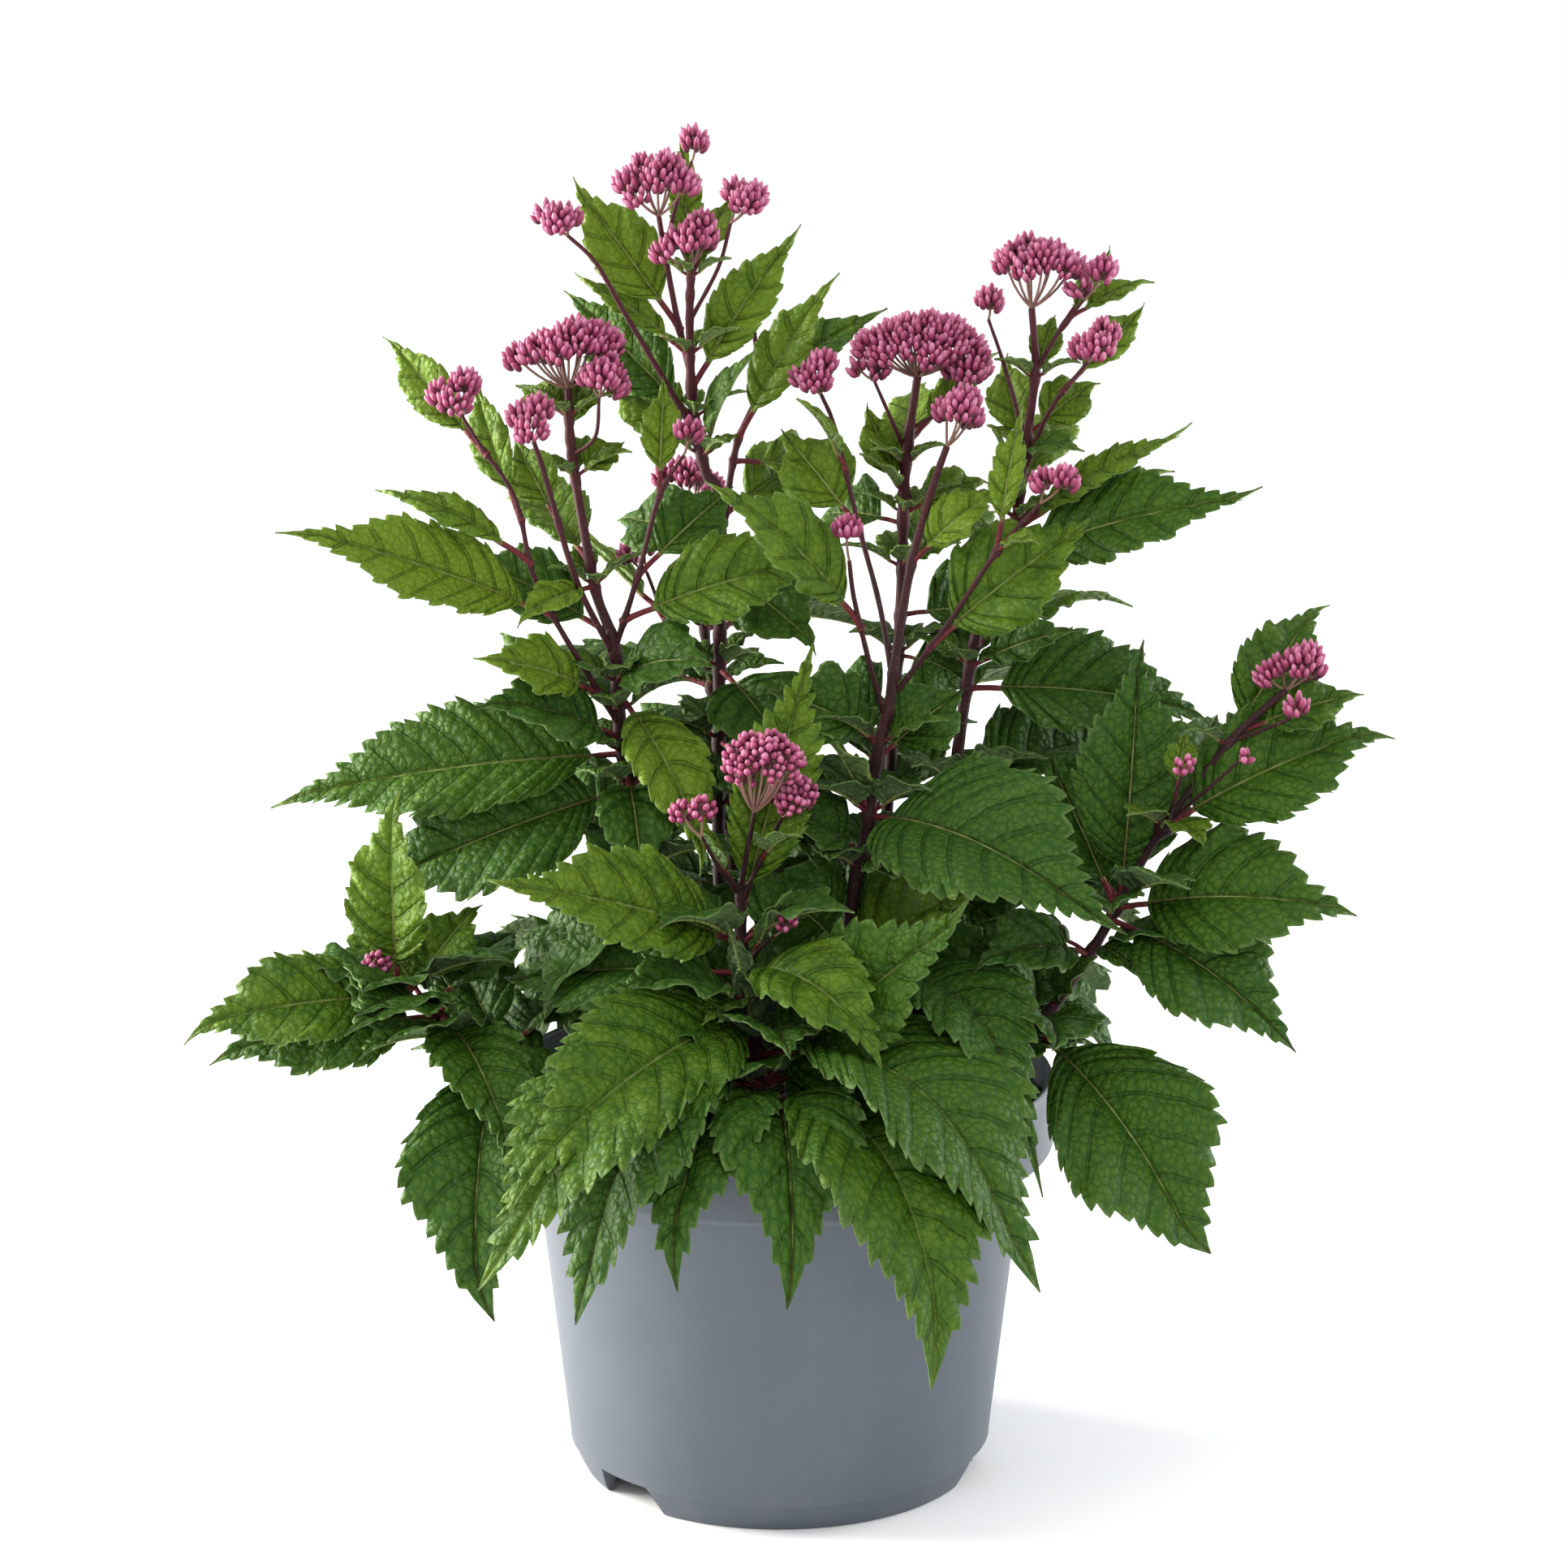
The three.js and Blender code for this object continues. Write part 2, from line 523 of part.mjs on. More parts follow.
// A cluster of buds: a smaller core whose upper side is split into cells, each raised to the
// tip of a bud, on an underside that narrows to the end of its branch.
function clusterSolid([, x, y, z, ...half], branch) {
  const centre = vec([x, y, z]);
  const outer = vec(half);
  const core = outer.clone().subScalar(Math.min(BUD, 0.45 * Math.min(...half)));
  const sides = THREE.MathUtils.clamp(Math.round(2.6 + 0.36 * half[0]), 5, 9);
  const bands = half[0] > 9 ? 3 : 2;
  const step = BUDS_DOWN_TO / (bands + 0.5);
  const halfCell = Math.PI / sides; // each ring is turned by half a cell from the one below it
  const on = (size, polar, round) =>
    new THREE.Vector3(
      size.x * Math.sin(polar) * Math.cos(round),
      size.y * Math.sin(polar) * Math.sin(round),
      size.z * Math.cos(polar),
    ).add(centre);

  // The foot is a ring square to the branch, just over its end.
  const end = vec(branch.points.at(-1));
  const ahead = end.clone().sub(vec(branch.points.at(-2))).normalize();
  const a = ACROSS.clone().cross(ahead).normalize();
  const b = ahead.clone().cross(a);
  end.addScaledVector(ahead, CLEARANCE);
  const vertices = [];
  for (let k = 0; k < sides; k++) {
    const [u, v] = [Math.cos(2 * k * halfCell), Math.sin(2 * k * halfCell)];
    const reach = FOOT_SHARE * branch.tip;
    vertices.push(end.clone().addScaledVector(a, reach * u).addScaledVector(b, reach * v));
  }
  // The rings over it are the edges between the buds, the lowest first.
  for (let ring = 0; ring <= bands; ring++) {
    for (let k = 0; k < sides; k++) {
      vertices.push(on(core, BUDS_DOWN_TO - ring * step, (2 * k + ring) * halfCell));
    }
  }
  const triangles = tubeTriangles(1, sides).slice(0, 2 * sides);
  for (let k = 1; k < sides - 1; k++) triangles.push([0, k + 1, k]);
  const raise = (cell, polar, round) => {
    const tip = vertices.push(on(outer, polar, round)) - 1;
    cell.forEach((corner, i) => triangles.push([corner, cell[(i + 1) % cell.length], tip]));
  };
  for (let ring = 0; ring < bands; ring++) {
    for (let k = 0; k < sides; k++) {
      const low = (ring + 1) * sides;
      const high = low + sides;
      const next = (k + 1) % sides;
      const lean = 0.1 - 0.08 * Math.sin(7 * (ring + 1) + 5 * k);
      const polar = BUDS_DOWN_TO - (ring + 0.5) * step - lean;
      raise([low + k, low + next, high + next, high + k], polar, (2 * k + ring + 1.5) * halfCell);
    }
  }
  const last = (bands + 1) * sides;
  raise([...Array(sides).keys()].map((k) => last + k), 0, 0);
  return solidOf(vertices, triangles);
}

// A head's clusters as one solid, cut clear of any branch that passes between the buds.
function flowerHead([, stem, clusters]) {
  const branches = branchesOf(stem);
  const holder = (cluster) => branches.find((branch) => branch.name === cluster[0]);
  let head = union(clusters.map((cluster) => clusterSolid(cluster, holder(cluster))));
  for (const branch of branches) {
    if (head.intersect(branchSolid(branch)).volume() > 0) {
      head = head.subtract(branchSolid(branch, CLEARANCE));
    }
  }
  return head.decompose().sort((p, q) => q.volume() - p.volume())[0];
}

// A closed outline of [radius, height] turned round the Z axis.
function lathe(profile) {
  const points = [...profile, profile[0]].map(([r, h]) => new THREE.Vector2(r, h));
  return new THREE.LatheGeometry(points, SEGMENTS).rotateX(Math.PI / 2);
}

// The pot's inside, from the rim down to the middle of the floor, drawn in by a gap.
function inside(gap) {
  const floor = FLOOR_HEIGHT + WALL + gap;
  return [
    [COLLAR_RADIUS - 3 - gap, POT_HEIGHT - 1],
    [COLLAR_RADIUS - 3 - gap, POT_HEIGHT - COLLAR_DEPTH + WALL + gap],
    [SHOULDER_RADIUS - WALL - gap, POT_HEIGHT - COLLAR_DEPTH + WALL + gap],
    [FOOT_RADIUS + 5.5 - gap, 18.5],
    [FOOT_RADIUS + 3.5 - gap, floor],
    [CENTRE_RADIUS + 9 - gap, floor],
    [CENTRE_RADIUS - gap, WALL + gap],
    [0, WALL + gap],
  ];
}

// The nursery pot: a collar with an edge below, a tapering wall, and a raised floor between a
// foot ring and the pressed-down middle. Three notches through the foot ring let water out.
function pot() {
  const outside = [
    [0, 0],
    [CENTRE_RADIUS, 0],
    [CENTRE_RADIUS + 9, FLOOR_HEIGHT],
    [FOOT_RADIUS - 2.4, FLOOR_HEIGHT],
    [FOOT_RADIUS - 2, 0],
    [FOOT_RADIUS, 0],
    [FOOT_RADIUS + 3.3, 6],
    [FOOT_RADIUS + 6, 12],
    [FOOT_RADIUS + 7.5, 18],
    [SHOULDER_RADIUS, POT_HEIGHT - COLLAR_DEPTH - 0.5],
    [COLLAR_RADIUS - 1.4, POT_HEIGHT - COLLAR_DEPTH],
    [COLLAR_RADIUS, POT_HEIGHT - COLLAR_DEPTH + 2],
    [COLLAR_RADIUS, POT_HEIGHT - 2],
    [COLLAR_RADIUS - 1.4, POT_HEIGHT],
  ];
  const half = NOTCH_WIDTH / 2;
  const notch = new THREE.Shape(
    [
      [-half, -1],
      [half, -1],
      [half - 1, 3],
      [half - 6, NOTCH_HEIGHT],
      [6 - half, NOTCH_HEIGHT],
      [1 - half, 3],
    ].map(([u, h]) => new THREE.Vector2(u, h)),
  );
  // Each cutter reaches from 10 mm inside the foot ring to well outside the wall over it.
  const cuts = NOTCHES.map((degrees) => {
    const cutter = new THREE.ExtrudeGeometry(notch, { depth: 24, bevelEnabled: false });
    cutter.rotateX(Math.PI / 2).translate(0, 10 - FOOT_RADIUS, 0);
    return solidFrom(cutter.rotateZ(THREE.MathUtils.degToRad(degrees)));
  });
  return solidFrom(lathe([...outside, ...inside(0)])).subtract(union(cuts));
}

// The root ball fills the pot. Its top is lumpy, with a plain hole for each stem.
function soil() {
  const side = inside(SOIL_GAP).slice(1).reverse(); // from the middle of the floor up
  const edge = [side.at(-1)[0], SOIL_HEIGHT - 3];
  const top = [102, 86, 66, 44, 22, 0].map((radius) => [radius, SOIL_HEIGHT]);
  const turned = lathe([...side, edge, ...top]);
  const position = turned.getAttribute("position");
  for (let i = 0; i < position.count; i++) {
    const [x, y, z] = [position.getX(i), position.getY(i), position.getZ(i)];
    if (z < SOIL_HEIGHT - 4) continue;
    const lump = 1.4 * Math.sin(0.13 * x + 0.4) * Math.cos(0.11 * y) + Math.sin(0.31 * x - 0.27 * y);
    position.setZ(i, z + lump);
  }
  const holes = Object.keys(PLANT).map((stem) => branchSolid(branchesOf(stem)[0], CLEARANCE));
  return solidFrom(turned).subtract(union(holes));
}

function mesh(name, solid, colour, roughness) {
  const { vertProperties, triVerts } = solid.getMesh();
  const geometry = new THREE.BufferGeometry();
  geometry.setAttribute("position", new THREE.BufferAttribute(vertProperties, 3));
  geometry.setIndex(new THREE.BufferAttribute(triVerts, 1));
  geometry.computeVertexNormals();
  const material = new THREE.MeshStandardMaterial({ color: colour, roughness });
  const made = new THREE.Mesh(geometry, material);
  made.name = name;
  return made;
}

const group = new THREE.Group();
group.add(mesh("pot", pot(), 0x6f7882, 0.5));
group.add(mesh("soil", soil(), 0x2e211a, 0.95));
for (const stem of Object.keys(PLANT)) {
  group.add(mesh("leafy_stem_" + stem, leafyStem(stem), 0x4a7a2c, 0.6));
}
for (const head of HEADS) {
  group.add(mesh("flower_head_" + head[0], flowerHead(head), 0xb04a80, 0.6));
}

export default group;
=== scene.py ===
# %% [markdown]
# # A potted eupatorium, dressed for its photograph
#
# The CAD model gives every piece its real size and place: a nursery pot, its root ball, nine leafy
# stems and 28 heads of buds. Here each of them is replaced by a finer piece with the same form:
# blades with saw teeth and sunken veins, stems with swollen joints, and heads that are packed with
# single buds. The shared frame is in metres, and the plan of the plant is in millimetres.

# %% Load the frame
import math

import bmesh
import bpy
import numpy as np
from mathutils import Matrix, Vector


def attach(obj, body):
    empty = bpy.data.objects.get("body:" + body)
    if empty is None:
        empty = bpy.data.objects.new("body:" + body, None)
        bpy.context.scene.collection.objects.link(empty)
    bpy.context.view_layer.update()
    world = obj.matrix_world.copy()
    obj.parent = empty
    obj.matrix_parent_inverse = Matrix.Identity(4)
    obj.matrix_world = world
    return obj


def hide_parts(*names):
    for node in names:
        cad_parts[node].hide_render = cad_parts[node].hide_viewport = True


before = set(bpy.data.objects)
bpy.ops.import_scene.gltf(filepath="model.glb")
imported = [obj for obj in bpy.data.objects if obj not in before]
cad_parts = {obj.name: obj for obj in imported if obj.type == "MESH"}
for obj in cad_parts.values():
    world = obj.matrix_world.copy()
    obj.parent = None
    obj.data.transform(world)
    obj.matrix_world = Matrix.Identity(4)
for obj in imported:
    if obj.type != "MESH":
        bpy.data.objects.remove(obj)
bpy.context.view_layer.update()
MM = 0.001
BODY = "root"  # nothing on the plant moves, so every piece rides on the one body
UP = np.array([0.0, 0.0, 1.0])

# %% [markdown]
# ## The view
#
# The photograph was taken with a long lens from a little above the plant: the ellipse of the pot's
# foot tells the camera's height, and the pot's width its distance. A long lens keeps the stems
# upright. One could also match the picture with a lens shift, but a camera that simply looks at
# the plant gives sides and back the same framing.

# %% Camera
PHOTO_SIDE = 1932  # the photograph's width and height in pixels
FOCAL_PIXELS = 5210  # the focal length in the same pixels
SENSOR = 36.0
SEEN_TO = 100.0  # metres, more than the floor's half
EYE = Vector((1.8, -1700, 694)) * MM
TARGET = Vector((1.8, 0, 294.5)) * MM


def add_object(name, data):
    """A new object in the scene."""
    made = bpy.data.objects.new(name, data)
    bpy.context.scene.collection.objects.link(made)
    return made


def looking(way):
    """The turn of a camera or a light that looks along a direction."""
    return Vector(way).to_track_quat("-Z", "Y").to_euler()


camera_data = bpy.data.cameras.new("camera")
camera_data.sensor_width = SENSOR
camera_data.lens = FOCAL_PIXELS * SENSOR / PHOTO_SIDE
camera_data.clip_end = SEEN_TO
camera = add_object("camera", camera_data)
camera.location = EYE
camera.rotation_euler = looking(TARGET - EYE)
bpy.context.scene.camera = camera
print(f"Lens {camera_data.lens:.1f} mm, {(TARGET - EYE).length:.2f} m away")

# %% [markdown]
# ## Sums on sockets
#
# A node tree is easier to read as expressions than as a list of links. One small class wraps an
# output socket, and every operator on it adds a Math node. A second class adds any other node from
# its type, its settings and the values of its sockets. Both serve shaders and Geometry Nodes.


# %% Sums
class Value:
    """An output socket. Sums on it add Math nodes, and of() gives the node's other outputs."""

    def __init__(self, nodes, socket):
        self.nodes = nodes
        self.socket = socket

    def of(self, name):
        return Value(self.nodes, self.nodes.find(self.socket.node.outputs, name))

    def maths(self, operation, *values):
        inputs = dict(enumerate(values))
        return self.nodes.add("ShaderNodeMath", {"operation": operation}, inputs)

    def __add__(self, other):
        return self.maths("ADD", self, other)

    def __radd__(self, other):
        return self.maths("ADD", other, self)

    def __sub__(self, other):
        return self.maths("SUBTRACT", self, other)

    def __rsub__(self, other):
        return self.maths("SUBTRACT", other, self)

    def __mul__(self, other):
        return self.maths("MULTIPLY", self, other)

    def __rmul__(self, other):
        return self.maths("MULTIPLY", other, self)

    def above(self, limit):
        """1 where the value is over a limit, and 0 elsewhere."""
        return self.maths("GREATER_THAN", self, limit)

    def below(self, limit):
        return self.maths("LESS_THAN", self, limit)

    def smaller(self, other):
        """The smaller of two values at each place."""
        return self.maths("MINIMUM", self, other)

    def larger(self, other):
        return self.maths("MAXIMUM", self, other)

    def size(self):
        """The value without its sign."""
        return self.maths("ABSOLUTE", self)

    def away_from_whole(self):
        """How far the value is from the nearest whole number, 0 to 0.5."""
        return self.maths("PINGPONG", self, 0.5)

    def step(self, low, high):
        """A soft step from 0 at low to 1 at high, or down if high is the lower."""
        inputs = {"Value": self, "From Min": low, "From Max": high}
        return self.nodes.add("ShaderNodeMapRange", {"interpolation_type": "SMOOTHSTEP"}, inputs)


# %% Nodes
class Nodes:
    """A node tree that add() fills, with short names for the nodes that shaders use most."""

    def __init__(self, tree):
        self.tree = tree

    def find(self, sockets, name):
        """A socket by its place, its identifier or its name, passing over those not in use."""
        if isinstance(name, int):
            return sockets[name]
        for socket in sockets:
            if socket.identifier == name:
                return socket
        return next(socket for socket in sockets if socket.name == name and socket.enabled)

    def add(self, kind, settings=None, inputs=None):
        """A node of a type, with its settings, and with the values or links of its sockets."""
        node = self.tree.nodes.new(kind)
        for name, setting in (settings or {}).items():
            if name == "stops":
                self.set_stops(node.color_ramp, setting)
            else:
                setattr(node, name, setting)
        for name, value in (inputs or {}).items():
            self.feed(self.find(node.inputs, name), value)
        if not len(node.outputs):
            return None
        return Value(self, next(socket for socket in node.outputs if socket.enabled))

    def feed(self, socket, value):
        """Links a socket to a value, to each of several values, or sets it to a plain number."""
        for one in value if isinstance(value, list) else [value]:
            if isinstance(one, Value):
                self.tree.links.new(one.socket, socket)
            else:
                socket.default_value = one

    def set_stops(self, ramp, stops):
        while len(ramp.elements) < len(stops):
            ramp.elements.new(1.0)
        for element, (place, shade) in zip(ramp.elements, stops):
            element.position = place
            element.color = shade

    def mix(self, factor, a, b):
        """Two colours mixed by a factor."""
        inputs = {"Factor_Float": factor, "A_Color": a, "B_Color": b}
        return self.add("ShaderNodeMix", {"data_type": "RGBA"}, inputs).of("Result_Color")

    def ramp(self, factor, *stops):
        """Colours that follow each other as a factor grows."""
        return self.add("ShaderNodeValToRGB", {"stops": stops}, {"Fac": factor})

    def vector(self, operation, *values):
        inputs = dict(enumerate(values))
        return self.add("ShaderNodeVectorMath", {"operation": operation}, inputs)

    def scaled(self, vector, factor):
        """A vector made longer or shorter."""
        inputs = {0: vector, "Scale": factor}
        return self.add("ShaderNodeVectorMath", {"operation": "SCALE"}, inputs)

    def parts(self, vector):
        """A vector's three numbers."""
        split = self.add("ShaderNodeSeparateXYZ", None, {0: vector})
        return split, split.of("Y"), split.of("Z")

    def noise(self, place, scale, detail=3.0, roughness=0.55):
        """Soft noise round 0.5."""
        inputs = {"Vector": place, "Scale": scale, "Detail": detail, "Roughness": roughness}
        return self.add("ShaderNodeTexNoise", {"noise_dimensions": "3D"}, inputs)

    def cloudy(self, place, scale):
        """Three soft noises in one vector, each round 0.5."""
        return self.add("ShaderNodeTexNoise", None, {"Vector": place, "Scale": scale}).of("Color")

    def object_place(self):
        """Where a point of the piece is, in metres."""
        return self.add("ShaderNodeTexCoord").of("Object")

    def attribute(self, name, output="Fac"):
        """A number that the mesh carries at each point under a name, or its "Vector"."""
        return self.add("ShaderNodeAttribute", {"attribute_name": name}).of(output)

    def bump(self, relief, strength, depth):
        """The shading of a relief from 0 to 1 that is so many metres deep."""
        inputs = {"Strength": strength, "Distance": depth, "Height": relief}
        return self.add("ShaderNodeBump", None, inputs)


def colour(red, green, blue):
    """A colour as it is read off a screen, 0 to 255, as the linear numbers that Blender uses."""
    shares = [value / 255 for value in (red, green, blue)]
    return (*[s / 12.92 if s < 0.04045 else ((s + 0.055) / 1.055) ** 2.4 for s in shares], 1.0)


def material(name, paint):
    """A material whose shader is filled in by paint, which returns the inputs of the shader."""
    made = bpy.data.materials.new(name)
    made.use_nodes = True
    nodes = Nodes(made.node_tree)
    shader = made.node_tree.nodes["Principled BSDF"]
    for name, value in paint(nodes).items():
        nodes.feed(shader.inputs[name], value)
    print(f"Material {made.name}: {len(made.node_tree.nodes)} nodes")
    return made


# %% [markdown]
# ## Floor and light
#
# In the photograph the light is broad and soft and comes from above: shadows between the leaves
# are mild, and the pot's sides are brighter than its front. A sky of one pale colour fills the
# shadows here, a very wide sun lights the leaves from above and makes the far floor white, and a
# weak soft box lifts the front. Two tall soft boxes behind the pot, left and right, brighten its
# sides. The floor is plain, so that nothing but the plant is seen.

# %% Floor and lights
FLOOR_SIDE = 60.0
PAPER = colour(250, 250, 250)
SKY = colour(250, 251, 255)
SKY_STRENGTH = 0.8
SUN = colour(255, 253, 248)
SOFT_BOXES = {  # place, aim, width and height in metres, watts, and the light's colour
    "front": [(0.3, -2.1, 1.3), (0, 0, 0.25), 1.4, 1.0, 15, colour(255, 255, 252)],
    "left side": [(-1.6, 0.35, 0.35), (0, 0, 0.15), 1.0, 1.3, 112, colour(255, 252, 245)],
    "right side": [(1.6, 0.6, 0.35), (0, 0, 0.15), 1.0, 1.3, 38, colour(250, 251, 255)],
}


def set_up_studio():
    bpy.ops.mesh.primitive_plane_add(size=FLOOR_SIDE)
    floor = bpy.context.object
    floor.name = "floor"
    paper = material("white paper", lambda nodes: {"Base Color": PAPER, "Roughness": 0.9})
    floor.data.materials.append(paper)
    world = bpy.data.worlds.new("pale sky")
    world.use_nodes = True
    background = world.node_tree.nodes["Background"]
    background.inputs["Color"].default_value = SKY
    background.inputs["Strength"].default_value = SKY_STRENGTH
    bpy.context.scene.world = world
    bpy.context.scene.view_settings.view_transform = "Standard"


def wide_sun(place, strength, degrees):
    """Light from one direction, as wide as a bright patch of cloud."""
    light = bpy.data.lights.new("sun", "SUN")
    light.energy = strength
    light.angle = math.radians(degrees)
    light.color = SUN[:3]
    add_object("sun", light).rotation_euler = looking(-Vector(place))


def soft_box(name, place, aim, width, height, watts, tint):
    light = bpy.data.lights.new(name, "AREA")
    light.shape = "RECTANGLE"
    light.size = width
    light.size_y = height
    light.energy = watts
    light.color = tint[:3]
    box = add_object(name, light)
    box.location = place
    box.rotation_euler = looking(Vector(aim) - Vector(place))


set_up_studio()
wide_sun(place=(-0.35, -0.25, 1.0), strength=1.05, degrees=50)
for name, settings in SOFT_BOXES.items():
    soft_box(name, *settings)

# %% [markdown]
# ## Pieces
#
# Every piece is a plain mesh at the origin that rides on the body, stands for its CAD node and
# carries its material. What repeats or follows a path is grown by a Geometry Nodes tree, which
# works on a carrier object: its inputs are set by their identifiers before Blender first evaluates
# it, and the result is kept as a mesh of its own.


# %% Piece helpers
def mesh_from(name, points, faces, edges=(), **attributes):
    """A mesh from points in millimetres, with one named attribute per point for each keyword."""
    made = bpy.data.meshes.new(name)
    made.from_pydata((np.asarray(points) * MM).tolist(), list(edges), list(faces))
    for key, values in attributes.items():
        values = np.asarray(values, dtype=float)
        kind = "FLOAT_VECTOR" if values.ndim == 2 else "FLOAT"
        layer = made.attributes.new(key, kind, "POINT")
        layer.data.foreach_set("vector" if values.ndim == 2 else "value", values.ravel())
    return made


def shade_smooth(mesh, degrees):
    """Smooth faces, apart from edges where they turn by more than this."""
    mesh.polygons.foreach_set("use_smooth", [True] * len(mesh.polygons))
    mesh.set_sharp_from_angle(angle=math.radians(degrees))


def piece(name, mesh, nodes):
    """Makes a finished mesh a piece that stands for its CAD nodes, and counts its triangles."""
    made = add_object(name, mesh)
    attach(made, BODY)
    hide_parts(*nodes)
    mesh.calc_loop_triangles()
    return len(mesh.loop_triangles)


def after_modifiers(carrier):
    """The mesh that an object's modifiers make. The object itself is taken away."""
    depsgraph = bpy.context.evaluated_depsgraph_get()
    made = bpy.data.meshes.new_from_object(carrier.evaluated_get(depsgraph), depsgraph=depsgraph)
    carrier.modifiers.clear()
    bpy.data.objects.remove(carrier)
    return made


def grown(name, source, tree, **inputs):
    """The mesh that a Geometry Nodes tree makes from a source mesh."""
    carrier = add_object(name + "_source", source)
    modifier = carrier.modifiers.new(tree.name, "NODES")
    modifier.node_group = tree
    for item in tree.interface.items_tree:
        if item.in_out == "INPUT" and item.name in inputs:
            modifier[item.identifier] = inputs[item.name]
    made = after_modifiers(carrier)
    made.name = name
    return made


# %% Geometry Nodes helpers
class Growth(Nodes):
    """A Geometry Nodes tree, with short names for the nodes that it uses most."""

    def position(self):
        return self.add("GeometryNodeInputPosition")

    def normal(self):
        return self.add("GeometryNodeInputNormal")

    def carried(self, name, kind="FLOAT_VECTOR"):
        """What the source mesh carries at each point under a name."""
        return self.add("GeometryNodeInputNamedAttribute", {"data_type": kind}, {"Name": name})

    def stored(self, geometry, name, value, kind="FLOAT", domain="POINT"):
        """A geometry that also carries a value under a name."""
        settings = {"data_type": kind, "domain": domain}
        inputs = {"Geometry": geometry, "Name": name, "Value": value}
        return self.add("GeometryNodeStoreNamedAttribute", settings, inputs)

    def random_number(self, low, high, seed):
        inputs = {"Min_001": low, "Max_001": high, "Seed": seed}
        return self.add("FunctionNodeRandomValue", {"data_type": "FLOAT"}, inputs).of("Value_001")

    def random_vector(self, low, high):
        return self.add("FunctionNodeRandomValue", {"data_type": "FLOAT_VECTOR"}, {0: low, 1: high})

    def scattered(self, mesh, apart, density, seed, **inputs):
        """Points all over a mesh, with a least distance between them."""
        settings = {"distribute_method": "POISSON"}
        inputs |= {"Mesh": mesh, "Distance Min": apart, "Density Max": density, "Seed": seed}
        return self.add("GeometryNodeDistributePointsOnFaces", settings, inputs)

    def copies(self, points, shape, **inputs):
        """A copy of a shape on each point."""
        inputs = {"Points": points, "Instance": shape} | inputs
        return self.add("GeometryNodeInstanceOnPoints", None, inputs)

    def made_real(self, geometry):
        """A geometry with its copies as faces or curves of its own."""
        return self.add("GeometryNodeRealizeInstances", None, {"Geometry": geometry})

    def joined(self, *parts):
        return self.add("GeometryNodeJoinGeometry", None, {"Geometry": list(parts)})

    def shifted(self, geometry, push):
        return self.add("GeometryNodeSetPosition", None, {"Geometry": geometry, "Offset": push})

    def upright_along(self, way):
        """The turn that lays the Z axis along a direction."""
        return self.add("FunctionNodeAlignRotationToVector", {"axis": "Z"}, {"Vector": way})

    def swept(self, curves, sides, radius=1.0, **inputs):
        """Tubes with closed ends along curves."""
        size = {"Resolution": sides, "Radius": radius}
        ring = self.add("GeometryNodeCurvePrimitiveCircle", {"mode": "RADIUS"}, size)
        inputs = {"Curve": curves, "Profile Curve": ring, "Fill Caps": True} | inputs
        return self.add("GeometryNodeCurveToMesh", None, inputs)


def new_tree(name, **inputs):
    """An empty Geometry Nodes tree with its named inputs, each given as (socket type, value)."""
    tree = bpy.data.node_groups.new(name, "GeometryNodeTree")
    tree.interface.new_socket("Geometry", in_out="INPUT", socket_type="NodeSocketGeometry")
    tree.interface.new_socket("Geometry", in_out="OUTPUT", socket_type="NodeSocketGeometry")
    for key, (kind, value) in inputs.items():
        socket = tree.interface.new_socket(key, in_out="INPUT", socket_type="NodeSocket" + kind)
        if value is not None:
            socket.default_value = value
    nodes = Growth(tree)
    return nodes, nodes.add("NodeGroupInput")


def finish_tree(nodes, geometry, finish):
    """Ends a tree: smooth faces, no instances, and the material."""
    smooth = nodes.add("GeometryNodeSetShadeSmooth", None, {"Geometry": geometry})
    real = nodes.made_real(smooth)
    ready = nodes.add("GeometryNodeSetMaterial", None, {"Geometry": real, "Material": finish})
    nodes.add("NodeGroupOutput", None, {0: ready})
    return nodes.tree


# %% [markdown]
# ## Pot plastic
#
# Nursery pots are moulded in polypropylene with a matt, blue-grey skin. The mould leaves a very
# fine grain, and faint upright flow marks, the plastic is a little paler in soft patches, and
# handling leaves a little dried peat low down. All of it is too shallow to model, so it is colour,
# roughness and bump.


# %% Pot finish
PLASTIC = colour(70, 77, 87)
PALE_PLASTIC = colour(75, 82, 92)
FLOW_MARK = colour(85, 92, 101)
DRIED_PEAT = colour(96, 92, 88)
SPLASHED_TO = 0.035  # height in metres


def paint_pot(nodes):
    place = nodes.object_place()
    cloud = nodes.noise(place, 14.0)
    flow = nodes.noise(nodes.vector("MULTIPLY", place, (60.0, 60.0, 5.0)), 1.0, 2.0)
    grain = nodes.noise(place, 900.0, 2.0)
    height = nodes.parts(place)[2]
    splashed = height.step(SPLASHED_TO, 0.0) * nodes.noise(place, 55.0, 5.0).step(0.45, 0.75)
    plain = nodes.mix(cloud.step(0.3, 0.7), PLASTIC, PALE_PLASTIC)
    marked = nodes.mix(flow.step(0.45, 0.8) * 0.2, plain, FLOW_MARK)
    dusty = nodes.mix(splashed * 0.3, marked, DRIED_PEAT)
    bump = nodes.bump(grain * 0.6 + flow * 0.4, strength=0.25, depth=0.0002)
    return {"Base Color": dusty, "Roughness": 0.46 + cloud * 0.1, "Normal": bump}


pot_plastic = material("pot plastic", paint_pot)


# %% [markdown]
# ## Peat
#
# The root ball's top is dark, damp peat with paler fibres and bits of bark. Its lumps are real
# geometry, and the material only adds what is smaller than a crumb.


# %% Peat finish
DAMP_PEAT = colour(30, 21, 16)
DRIER_PEAT = colour(62, 44, 32)
FIBRE = colour(120, 94, 66)


